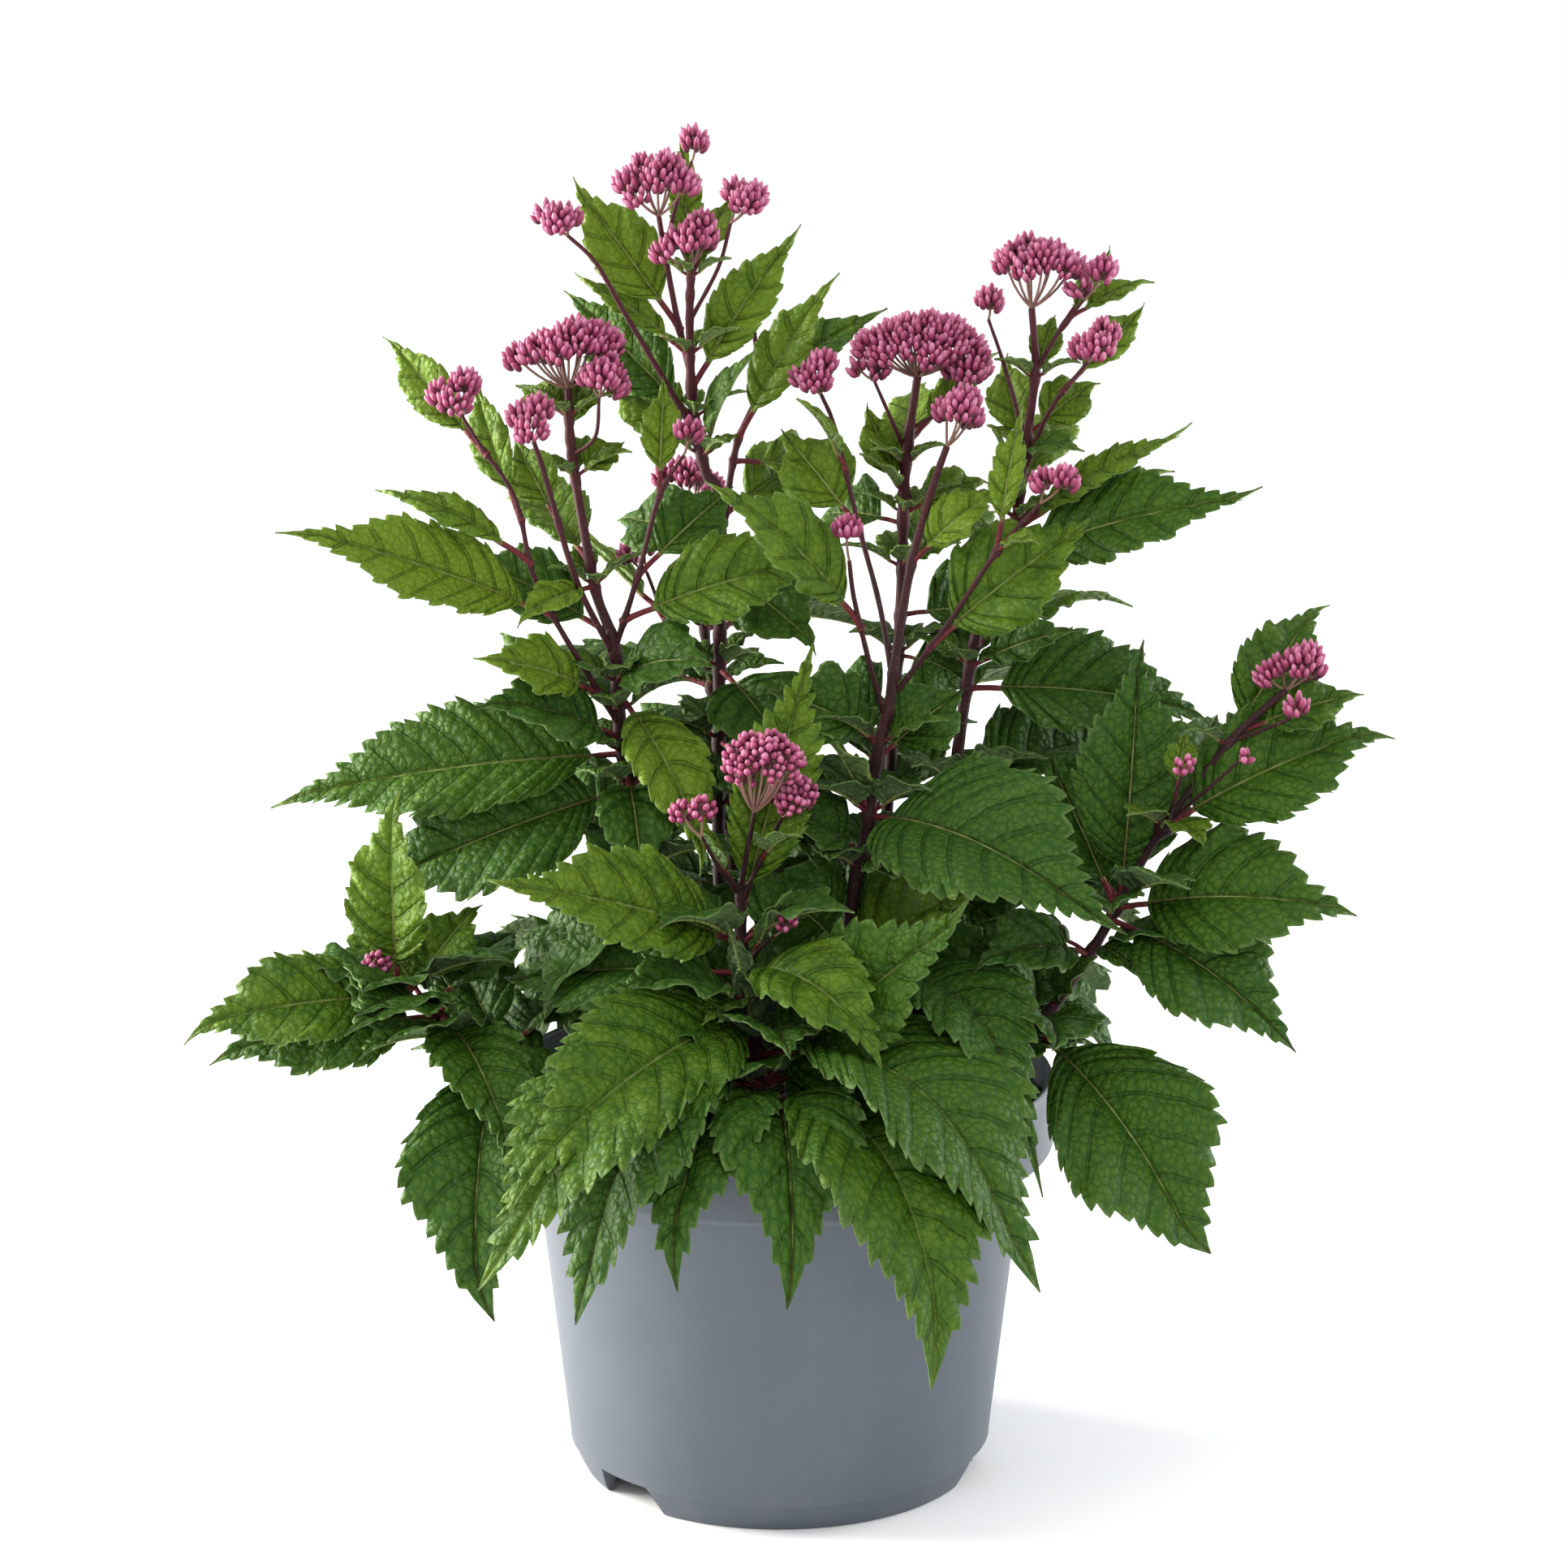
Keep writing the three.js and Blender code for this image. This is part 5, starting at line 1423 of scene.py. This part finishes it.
def edge_rows(length):
    """The rows where they reach the edge, as shares of the blade, with each one's tooth height."""
    teeth = max(FEWEST, round(length * TEETH_PER_MM))
    rows = [(0.0, 0.0), (0.012, 0.0)]
    pitch = (TEETH_TO - TEETH_FROM) / teeth
    for k in range(teeth):
        size = 0.6 + 0.75 * draw.random()
        rows += [(TEETH_FROM + (k + at) * pitch, high * size) for at, high in TOOTH]
    rows += [(TEETH_TO + 0.01, -0.3), (0.93, 0.0), (0.965, 0.0), (1.0, 0.0)]
    return np.array(rows).T


# %% The curve that a leaf follows


class Rib:
    """The curve that a leaf arches along, from its branch to its tip, with its own directions."""

    def __init__(self, base, tip, arch, turn):
        self.base, self.tip = base, tip
        ahead = unit(tip - base)
        level = unit(np.cross(ahead, UP))
        angle = math.radians(turn)
        self.side = level * math.cos(angle) + np.cross(ahead, level) * math.sin(angle)
        self.bend = (base + tip) / 2 + 2 * arch * np.cross(self.side, ahead)
        self.length = np.linalg.norm(tip - base)

    def at(self, share):
        s = np.asarray(share, dtype=float)[..., None]
        return (1 - s) ** 2 * self.base + 2 * s * (1 - s) * self.bend + s**2 * self.tip

    def ahead(self, share):
        s = np.asarray(share, dtype=float)[..., None]
        return unit((1 - s) * (self.bend - self.base) + s * (self.tip - self.bend))

    def out(self, share):
        return unit(np.cross(self.side, self.ahead(share)))


# %% The blade's rows
class Blade:
    """A blade as rows from edge to edge: where each point lies, and how high it stands."""

    def __init__(self, length, width, hangs, young):
        self.length, self.width = length, width
        self.share, tooth = (values[:, None] for values in edge_rows(length))
        columns = ACROSS if length > SMALL_BLADE else ACROSS_SMALL
        self.side = np.concatenate([-columns[:0:-1], columns])  # -1 at one edge, 1 at the other
        self.far = np.abs(self.side)
        self.edge = self.far**7  # 1 at the edge and nearly 0 elsewhere
        half = outline(self.share, hangs, young) * width / 2
        self.room = half / half.max()  # what bends the edge fades where the blade is narrow
        root = np.maximum(0.3 * self.share, self.share - VEIN_SLANT * half / length)
        root[-1] = 1.0
        deepest = (0.2 + TOOTH_DEPTH * length) * (1 - YOUNG_SMOOTHER * young)
        depth = np.minimum(deepest, 0.3 * half)
        reach = half + tooth * depth * self.edge
        reach[0] = STALK_RADIUS
        self.across = self.side * np.maximum(reach, THINNEST)
        forward = np.maximum(tooth, 0) * depth * 1.3 * self.edge / length
        along = root + (self.share - root) * self.far**CREST + forward
        self.along = np.clip(along, 0, 1)
        self.veins = max(FEWEST, round(length / VEIN_PITCH))
        self.spacing = length / self.veins
        self.vein = self.veins * self.share**0.92 * np.ones_like(self.far)

    def pillows(self):
        """How high the long pillows between the side veins stand, each a little different."""
        between_veins = np.abs(np.sin(math.pi * self.vein)) ** 0.75
        crown = np.sin(math.pi * self.far**0.8) ** 0.6 * 0.85 + 0.15 * self.far
        swell = min(PILLOW, 0.17 * self.spacing) * between_veins * crown
        swell = swell * np.clip(self.share * 9, 0, 1) * np.clip((1 - self.share) * 7, 0, 1)
        return swell * (0.75 + 0.5 * draw.random(self.veins + 1))[self.vein.astype(int)]

    def waves(self):
        """How the edge sways over the blade's length and curls from vein to vein."""
        phase = draw.random(2) * 2 * math.pi
        count = 2.5 + 1.5 * draw.random()
        turn = 2 * math.pi * count * self.share + np.where(self.side > 0, *phase)
        sway = SWAY * self.width * self.room * self.far**2 * np.sin(turn)
        curl = np.sin(5.3 * self.vein + phase[0] * self.side) * min(CURL, 0.045 * self.width)
        return sway + curl * self.room * self.edge

    def height(self):
        """How high each point stands over the flat blade."""
        fold = FOLD * np.abs(self.across) * (1.22 - 0.3 * self.far)
        turned_down = 0.05 * self.width * self.room * self.far**4
        groove = MIDRIB_SUNK * (self.far < 0.03)
        return fold - turned_down + self.pillows() + self.waves() - groove

    def tip(self):
        """How far the tip droops and how far it turns aside."""
        twist = np.clip((self.along - TIP_FROM) / (1 - TIP_FROM), 0, 1) ** 2 * self.length
        droop = twist * 0.05 * (draw.random() - 0.3)
        return droop, twist * 0.13 * (draw.random() - 0.5)


def blade_points(rib, blade, neck, number, light_and_age_tone):
    """The upper sheet's points by row and column, and what each point carries."""
    height = blade.height()
    droop, aside = blade.tip()
    station = neck + (1 - neck) * blade.along
    out = rib.out(station)
    to_side = rib.side * (blade.across + aside)[..., None]
    points = rib.at(station) + to_side + out * (height - droop)[..., None]
    ones = np.ones_like(blade.along)
    steps = blade.along * blade.length / blade.spacing + LEAF_APART * number
    vein_place = np.stack([blade.across / blade.spacing, steps, blade.vein], axis=-1)
    blade_place = np.stack([blade.far * ones, blade.share * ones, light_and_age_tone * ones], axis=-1)
    return points, out, vein_place, blade_place


def sheet_faces(rows, columns, below):
    """The faces of a closed sheet: upper side, underside and the edge all round."""
    grid = np.arange(rows * columns).reshape(rows, columns)
    a, b = grid[:-1, :-1], grid[:-1, 1:]
    c, d = grid[1:, 1:], grid[1:, :-1]
    top = np.stack([a, b, c, d], axis=-1).reshape(-1, 4)
    faces = [top, top[:, ::-1] + below]
    ring = np.concatenate([grid[0, :], grid[1:, -1], grid[-1, -2::-1], grid[-2:0:-1, 0]])
    after = np.roll(ring, -1)
    faces.append(np.stack([after, ring, ring + below, after + below], axis=-1))
    return np.concatenate(faces)


def stalk_points(rib, neck, root, number, light_and_age_tone, sides=7):
    """A round stalk that runs on under the blade as its rib, by ring."""
    length = rib.length
    stalk_shares = [-root / length, 0, 0.3 * neck, 0.65 * neck, neck]
    swollen = [1.5, 1.35, 1.05, 1.0, 1.0]
    shares = np.concatenate([stalk_shares, np.linspace(neck, RIB_END, RIB_RINGS + 1)[1:]])
    radius = STALK_RADIUS * np.concatenate([swollen, np.linspace(0.85, 0.18, RIB_RINGS)])
    radius *= min(1.0, 0.35 + length / 110)  # a small leaf has a thin stalk
    under = np.clip((shares - 0.5 * neck) / (0.5 * neck), 0, 1)
    centre = rib.at(shares) - rib.out(shares) * (under * (radius * 0.85 + 0.1))[:, None]
    angle = 2 * math.pi * np.arange(sides) / sides
    out, side = rib.out(shares)[:, None, :], rib.side[None, None, :]
    ring = side * np.cos(angle)[None, :, None] + out * np.sin(angle)[None, :, None]
    points = centre[:, None, :] + ring * radius[:, None, None]
    along = np.where(shares < neck, shares / neck - 1, shares)
    ones = np.ones((len(shares), sides))
    steps = 6 * shares[:, None] + LEAF_APART * number
    vein_place = np.stack([0 * ones, steps * ones, 0 * ones], axis=-1)
    blade_place = np.stack([0 * ones, along[:, None] * ones, light_and_age_tone * ones], axis=-1)
    return points, vein_place, blade_place


def tube_faces(rings, sides):
    """The faces of a tube with closed ends."""
    grid = np.arange(rings * sides).reshape(rings, sides)
    after = np.roll(grid, -1, axis=1)
    walls = np.stack([grid[:-1], grid[1:], after[1:], after[:-1]], axis=-1).reshape(-1, 4)
    return walls.tolist() + [grid[0].tolist(), grid[-1, ::-1].tolist()]


# %% A whole leaf
def leaf_parts(stem, leaf, number):
    """One leaf's points, faces and what its points carry."""
    name, place, x, y, z, width, arch, turn, light_and_age_tone = leaf
    foot, tip_radius, points = branch_named(stem, name)[1:]
    base = grown_to(points, place)
    radius = foot + (tip_radius - foot) * place / (len(points) - 1)
    rib = Rib(base, np.array([x, y, z], dtype=float), arch, turn)
    neck = min(0.22, STALK / rib.length)
    young = between(base[2], *YOUNG_BETWEEN)
    hangs = between(z, *HANGS_BETWEEN)
    width *= WIDER - YOUNG_NARROWER * young + HANGING_WIDER * hangs
    # A leaf whose tip is low gets a darker tone, as painted shade; a young leaf high up gets the
    # paler green of its own.
    light_and_age_tone = light_and_age_tone * (0.5 + 0.5 * min(1.0, z / 300)) + 1.4 * young
    blade = Blade(rib.length * (1 - neck), width, hangs, young)
    upper, out, vein_place, blade_place = blade_points(rib, blade, neck, number, light_and_age_tone)
    lower = upper - out * BLADE
    stalk, stalk_vein, stalk_blade = stalk_points(rib, neck, 0.6 * radius, number, light_and_age_tone)
    rows, columns = upper.shape[:2]
    count = rows * columns
    faces = sheet_faces(rows, columns, count).tolist()
    faces += [[corner + 2 * count for corner in face] for face in tube_faces(*stalk.shape[:2])]
    parts = {
        "points": [upper, lower, stalk],
        "vein_place": [vein_place, vein_place, stalk_vein],
        "blade_place": [blade_place, blade_place, stalk_blade],
    }
    joined = {key: np.concatenate([p.reshape(-1, 3) for p in each]) for key, each in parts.items()}
    counts = [count, count, stalk[..., 0].size]
    joined["underside"] = np.repeat([0.0, 1.0, 1.0], counts)
    joined["stalk"] = np.repeat([0.0, 0.0, 1.0], counts)
    return joined, faces


# %% [markdown]
# ## Leaves that only this model has
#
# A plant this full has leaves inside that only show as dark green between the others. The CAD has
# no room for them, so they are added here: some larger ones where the photograph shows no gap, and
# over the far rim, and small ones of side shoots that haven't grown yet round the joints. The small
# ones are drawn at random. Those low down are longer, and shade the peat.
# %% More leaves inside the plant, in the plan's form
INNER_LEAVES = {
    "front": [
        ["main", 1.5, 78, -98, 268, 50, 5, 68, 1],
        ["main", 1.0, 6, -156, 122, 46, 46, 0, 0],
    ],
    "centre": [
        ["main", 1.1, 98, -14, 230, 48, 6, 45, 0],
        ["main", 1.4, 68, 24, 264, 40, 5, 50, 0],
        ["main", 1.4, -12, -14, 260, 42, 5, -60, 0],
    ],
    "high": [
        ["main", 1.0, 108, 20, 214, 50, 8, 40, 0],
        ["main", 0.9, 18, 22, 246, 46, 6, -50, 0],
        ["main", 0.4, 62, 170, 146, 52, 36, 0, 0],
    ],
    "right": [
        ["main", 0.5, 130, 100, 140, 50, 34, 0, 0],
        ["main", 0.4, 148, 16, 158, 50, 24, 0, 0],
        ["main", 1.0, 58, -4, 264, 40, 6, -45, 0],
    ],
    "left": [
        ["main", 0.5, -112, 108, 142, 50, 34, 0, 0],
        ["main", 1.1, -96, -44, 212, 46, 8, 20, 0],
    ],
    "back": [
        ["main", 0.4, -20, 174, 130, 50, 38, 0, 0],
        ["main", 0.5, -72, 152, 142, 48, 34, 0, 1],
    ],
}
print("More leaves:", {stem: len(leaves) for stem, leaves in INNER_LEAVES.items()})

# %% Small leaves at the joints
LOW = 165  # height of the lowest joints
HIGH = 345  # above this a joint's small leaves are as short as they get
MANY_JOINTS = 9  # a shoot with more of them has small leaves at every other one


def small_leaves(stem):
    """Leaves in the plan's form, a few round each joint of a stem's main shoot."""
    points = branch_named(stem, "main")[3]
    places = sorted({leaf[1] for leaf in PLANT[stem]["leaves"] if leaf[0] == "main"} | {1.2, 1.4})
    around = 2 if stem.startswith("low") else 4
    leaves = []
    for place in places[::2] if len(places) > MANY_JOINTS else places:
        base = grown_to(points, place)
        low = max(0.0, 1 - (base[2] - LOW) / (HIGH - LOW))
        turn = 2 * math.pi * draw.random()
        for k in range(around):
            turn += 2 * math.pi / around + 0.5 * (draw.random() - 0.5)
            length = (25 + 48 * low**1.2) * (0.8 + 0.5 * draw.random())
            rise = 0.55 - 0.35 * low + 0.2 * draw.random()
            ahead = unit([math.sin(turn), -math.cos(turn), rise])
            tip = base + ahead * length - UP * 0.12 * length
            width = length * (0.46 + 0.12 * draw.random())
            arch = 0.1 * length
            roll = 40 * (draw.random() - 0.5)
            # Low ones take tone 0, the deep green of painted shade.
            light_and_age_tone = 0 if low > 0.35 else 1
            leaves.append(["main", place, *tip, width, arch, roll, light_and_age_tone])
    return leaves


# %% Make the leaves
def make_leaves(stem, first_number):
    parts, faces, count = [], [], 0
    leaves = PLANT[stem]["leaves"] + INNER_LEAVES.get(stem, []) + small_leaves(stem)
    for k, leaf in enumerate(leaves):
        made, its_faces = leaf_parts(stem, leaf, first_number + k)
        faces += [[corner + count for corner in face] for face in its_faces]
        count += len(made["points"])
        parts.append(made)
    joined = {key: np.concatenate([made[key] for made in parts]) for key in parts[0]}
    mesh = mesh_from("leaves_" + stem, joined.pop("points"), faces, **joined)
    shade_smooth(mesh, degrees=65)
    mesh.materials.append(leaf_skin)
    return piece("leaves_" + stem, mesh, ["leafy_stem_" + stem])


number = 1
for stem in PLANT:
    print(f"Leaves of {stem}: {make_leaves(stem, number)} triangles")
    number += planned[stem]

# %% [markdown]
# ## Heads of buds
#
# A head is a bunch of bunches: stalks fan out from the end of the shoot, each carries a small dome,
# and buds stand all over the dome, close but each on its own. Thousands of buds can't be placed by
# hand, so a tree does it: little balls stand where the domes go, points are scattered over them
# with a least distance between them, those that look down or inwards are dropped, and each of the
# rest gets a bud that leans outwards and up. Stalks are curves that are swept like the stems.
#
# The heads high up are flat domes of long, pointed buds. Most of those low down are younger and
# nearly balls, of short round buds, so their small domes stand all round them.

# %% Bud sizes
DOME = 5.4  # radius of a small dome, at the middle of its buds
DOME_PITCH = 8.8  # distance between domes
FULLER = 1.16  # a real head spreads a little wider than the CAD's clusters
FULLER_BALL = 1.06
POINTED_BUDS = {"Bud length": 6.2, "Bud width": 2.8, "Bud spacing": 2.65}
ROUND_BUDS = {"Bud length": 4.0, "Bud width": 3.1, "Bud spacing": 2.75}
ROUND_HEADS = ["front_low", "front_main", "front_side"]
ROUND_HEADS += ["low_left_main", "low_right_first", "low_right_second"]
STALK_THICKNESS = 0.55  # radius of a dome's stalk
MOST_BUDS = 3e6  # on a square metre, more than there is room for
SUNFLOWER_TURN = math.pi * (3 - math.sqrt(5))


# %% The tree of a head
def bud_shape(nodes, given):
    """A ball drawn out to a bud, blunt at the foot and narrower at the tip."""
    ball_sizes = {"Segments": 6, "Rings": 5, "Radius": 1.0}
    ball = nodes.add("GeometryNodeMeshUVSphere", None, ball_sizes)
    x, y, z = nodes.parts(nodes.position())
    marked = nodes.stored(ball, "along_bud", z * 0.5 + 0.5)
    half_width = given.of("Bud width") * 0.5 * (1 - z * 0.3)
    half_length = given.of("Bud length") * 0.5
    sizes = {"X": x * half_width, "Y": y * half_width, "Z": z * half_length}
    shaped = nodes.add("ShaderNodeCombineXYZ", None, sizes)
    return nodes.add("GeometryNodeSetPosition", None, {"Geometry": marked, "Position": shaped})


def stalks(nodes, points, way, bow, radius, first):
    """A stalk from every point along a way of its own, bowed downwards, as swept curves."""
    steps, sides = (5, 5) if bow else (1, 3)
    ends = {"Start": (0.0, 0.0, 0.0), "Middle": (-bow, 0.0, 0.5), "End": (0.0, 0.0, 1.0)}
    line = nodes.add("GeometryNodeCurveQuadraticBezier", None, {"Resolution": steps} | ends)
    bowed = nodes.add(
        "FunctionNodeAlignRotationToVector",
        {"axis": "X", "pivot_axis": "Z"},
        {"Rotation": nodes.upright_along(way), "Vector": (0.0, 0.0, 1.0)},
    )
    length = nodes.vector("LENGTH", way).of("Value")
    stretch = nodes.add("ShaderNodeCombineXYZ", None, {"X": length, "Y": length, "Z": length})
    lines = nodes.made_real(nodes.copies(points, line, Rotation=bowed, Scale=stretch))
    part = nodes.add("GeometryNodeSplineParameter")
    marked = nodes.stored(lines, "along_bud", first + part * -0.45)
    return nodes.swept(marked, sides, radius)


def head_tree():
    sizes = POINTED_BUDS | {"Stalk radius": STALK_THICKNESS}
    nodes, given = new_tree(
        "head of buds",
        **{name: ("Float", size * MM) for name, size in sizes.items()},
        Seed=("Int", 1),
        Finish=("Material", None),
    )
    place = nodes.position()
    domes = nodes.stored(given, "dome_centre", place, "FLOAT_VECTOR")
    ball = nodes.add("GeometryNodeMeshIcoSphere", None, {"Radius": 1.0, "Subdivisions": 3})
    balls = nodes.copies(domes, ball, Scale=nodes.carried("dome_radius", "FLOAT"))
    apart, seed = given.of("Bud spacing"), given.of("Seed")
    spots = nodes.scattered(nodes.made_real(balls), apart, MOST_BUDS, seed)

    normal = spots.of("Normal")
    outward = nodes.vector("NORMALIZE", nodes.vector("SUBTRACT", place, nodes.carried("core")))
    inwards = nodes.vector("DOT_PRODUCT", normal, outward).of("Value").below(0.1)
    downwards = nodes.parts(normal)[2].below(-0.45)
    hidden = {"Geometry": spots, "Selection": inwards.larger(downwards)}
    kept = nodes.add("GeometryNodeDeleteGeometry", {"domain": "POINT"}, hidden)
    lean = nodes.vector("ADD", nodes.vector("ADD", normal, outward), (0.0, 0.0, 1.2))
    size = nodes.random_number(0.8, 1.12, seed=5)
    upright = nodes.upright_along(lean)
    buds = nodes.copies(kept, bud_shape(nodes, given), Rotation=upright, Scale=size)
    own = nodes.random_number(0.0, 1.0, seed=9)
    tinted = nodes.stored(buds, "own_shade", own, domain="INSTANCE")

    thick = given.of("Stalk radius")
    under_dome = nodes.vector("SUBTRACT", nodes.carried("dome_centre"), (0.0, 0.0, 0.003))
    to_dome = nodes.vector("SUBTRACT", under_dome, place)
    to_branch = nodes.vector("SUBTRACT", nodes.carried("branch_end"), place)
    fine = stalks(nodes, kept, to_dome, bow=0.0, radius=thick * 0.6, first=-0.5)
    main = stalks(nodes, domes, to_branch, bow=0.16, radius=thick, first=-1.0)
    return finish_tree(nodes, nodes.joined(tinted, fine, main), given.of("Finish"))


# %% Where the small domes stand
def dome_rows(places, radius, branch, core):
    """What the tree reads for each small dome: its place and radius, its branch's end, the core."""
    end = np.array(branch[3][-1], dtype=float)
    uneven = [1 + 0.12 * math.sin(4.1 * k) for k in range(len(places))]
    return [(place, radius * MM * more, end * MM, core * MM) for place, more in zip(places, uneven)]


def dome_places(cluster, branch):
    """The small domes of a cluster that is a broad dome itself, in the order of a sunflower."""
    centre, half = np.array(cluster[1:4], dtype=float), FULLER * np.array(cluster[4:7], dtype=float)
    radius = min(DOME, 0.55 * half.min())
    inner = np.maximum(half - radius - POINTED_BUDS["Bud length"] * 0.35, 0.0)
    domes = max(1, round(math.pi * inner[0] * inner[1] / DOME_PITCH**2 * 1.6))
    places = []
    for k in range(domes):
        out = math.sqrt((k + 0.6) / domes) if domes > 1 else 0.0
        turn = k * SUNFLOWER_TURN
        lift = inner[2] - 0.6 * half[2] * out**2
        if domes > 1:
            lift += 2.2 * math.sin(2.4 * k + centre[0])
        x, y = inner[0] * out * math.cos(turn), inner[1] * out * math.sin(turn)
        places.append(centre + [x, y, lift])
    return dome_rows(places, radius, branch, centre - UP * half[2] * 0.9)


def ball_places(cluster, branch):
    """The same for a round head, where small domes stand all round, but for its underside."""
    centre = np.array(cluster[1:4], dtype=float)
    half = FULLER_BALL * np.array(cluster[4:7], dtype=float)
    radius = min(DOME, 0.6 * half.min())
    inner = np.maximum(half - radius - 1.5, 0.0)
    domes = max(1, round(2 * math.pi * 1.75 * inner[0] * inner[2] / (1.5 * radius) ** 2))
    places = []
    for k in range(domes):
        rise = 1 - 1.75 * (k + 0.5) / domes if domes > 1 else 0.0
        out, turn = math.sqrt(1 - rise**2), k * SUNFLOWER_TURN
        places.append(centre + inner * [out * math.cos(turn), out * math.sin(turn), rise])
    return dome_rows(places, radius, branch, centre - UP * half[2] * 0.35)


# %% Make the heads
def make_head(head, tree, seed):
    name, stem, clusters = head
    is_round = name in ROUND_HEADS
    places_in = ball_places if is_round else dome_places
    rows = []
    for cluster in clusters:
        rows += places_in(cluster, branch_named(stem, cluster[0]))
    places, radii, ends, cores = [np.array(each) for each in zip(*rows)]
    source = mesh_from("domes", places, [], dome_radius=radii, branch_end=ends, core=cores)
    buds = ROUND_BUDS if is_round else POINTED_BUDS
    sizes = {key: size * MM for key, size in buds.items()}
    mesh = grown("buds_" + name, source, tree, Seed=seed, Finish=bud_skin, **sizes)
    return piece("buds_" + name, mesh, ["flower_head_" + name])


heads = head_tree()
counts = {head[0]: make_head(head, heads, seed) for seed, head in enumerate(HEADS, start=1)}
print("Heads:", counts, "in all", sum(counts.values()))

# %% Count the triangles in all
shown = [o for o in bpy.context.scene.objects if o.type == "MESH" and not o.hide_render]
triangles = sum(len(o.data.loop_triangles) for o in shown if o.name != "floor")
print("Triangles in all:", triangles)
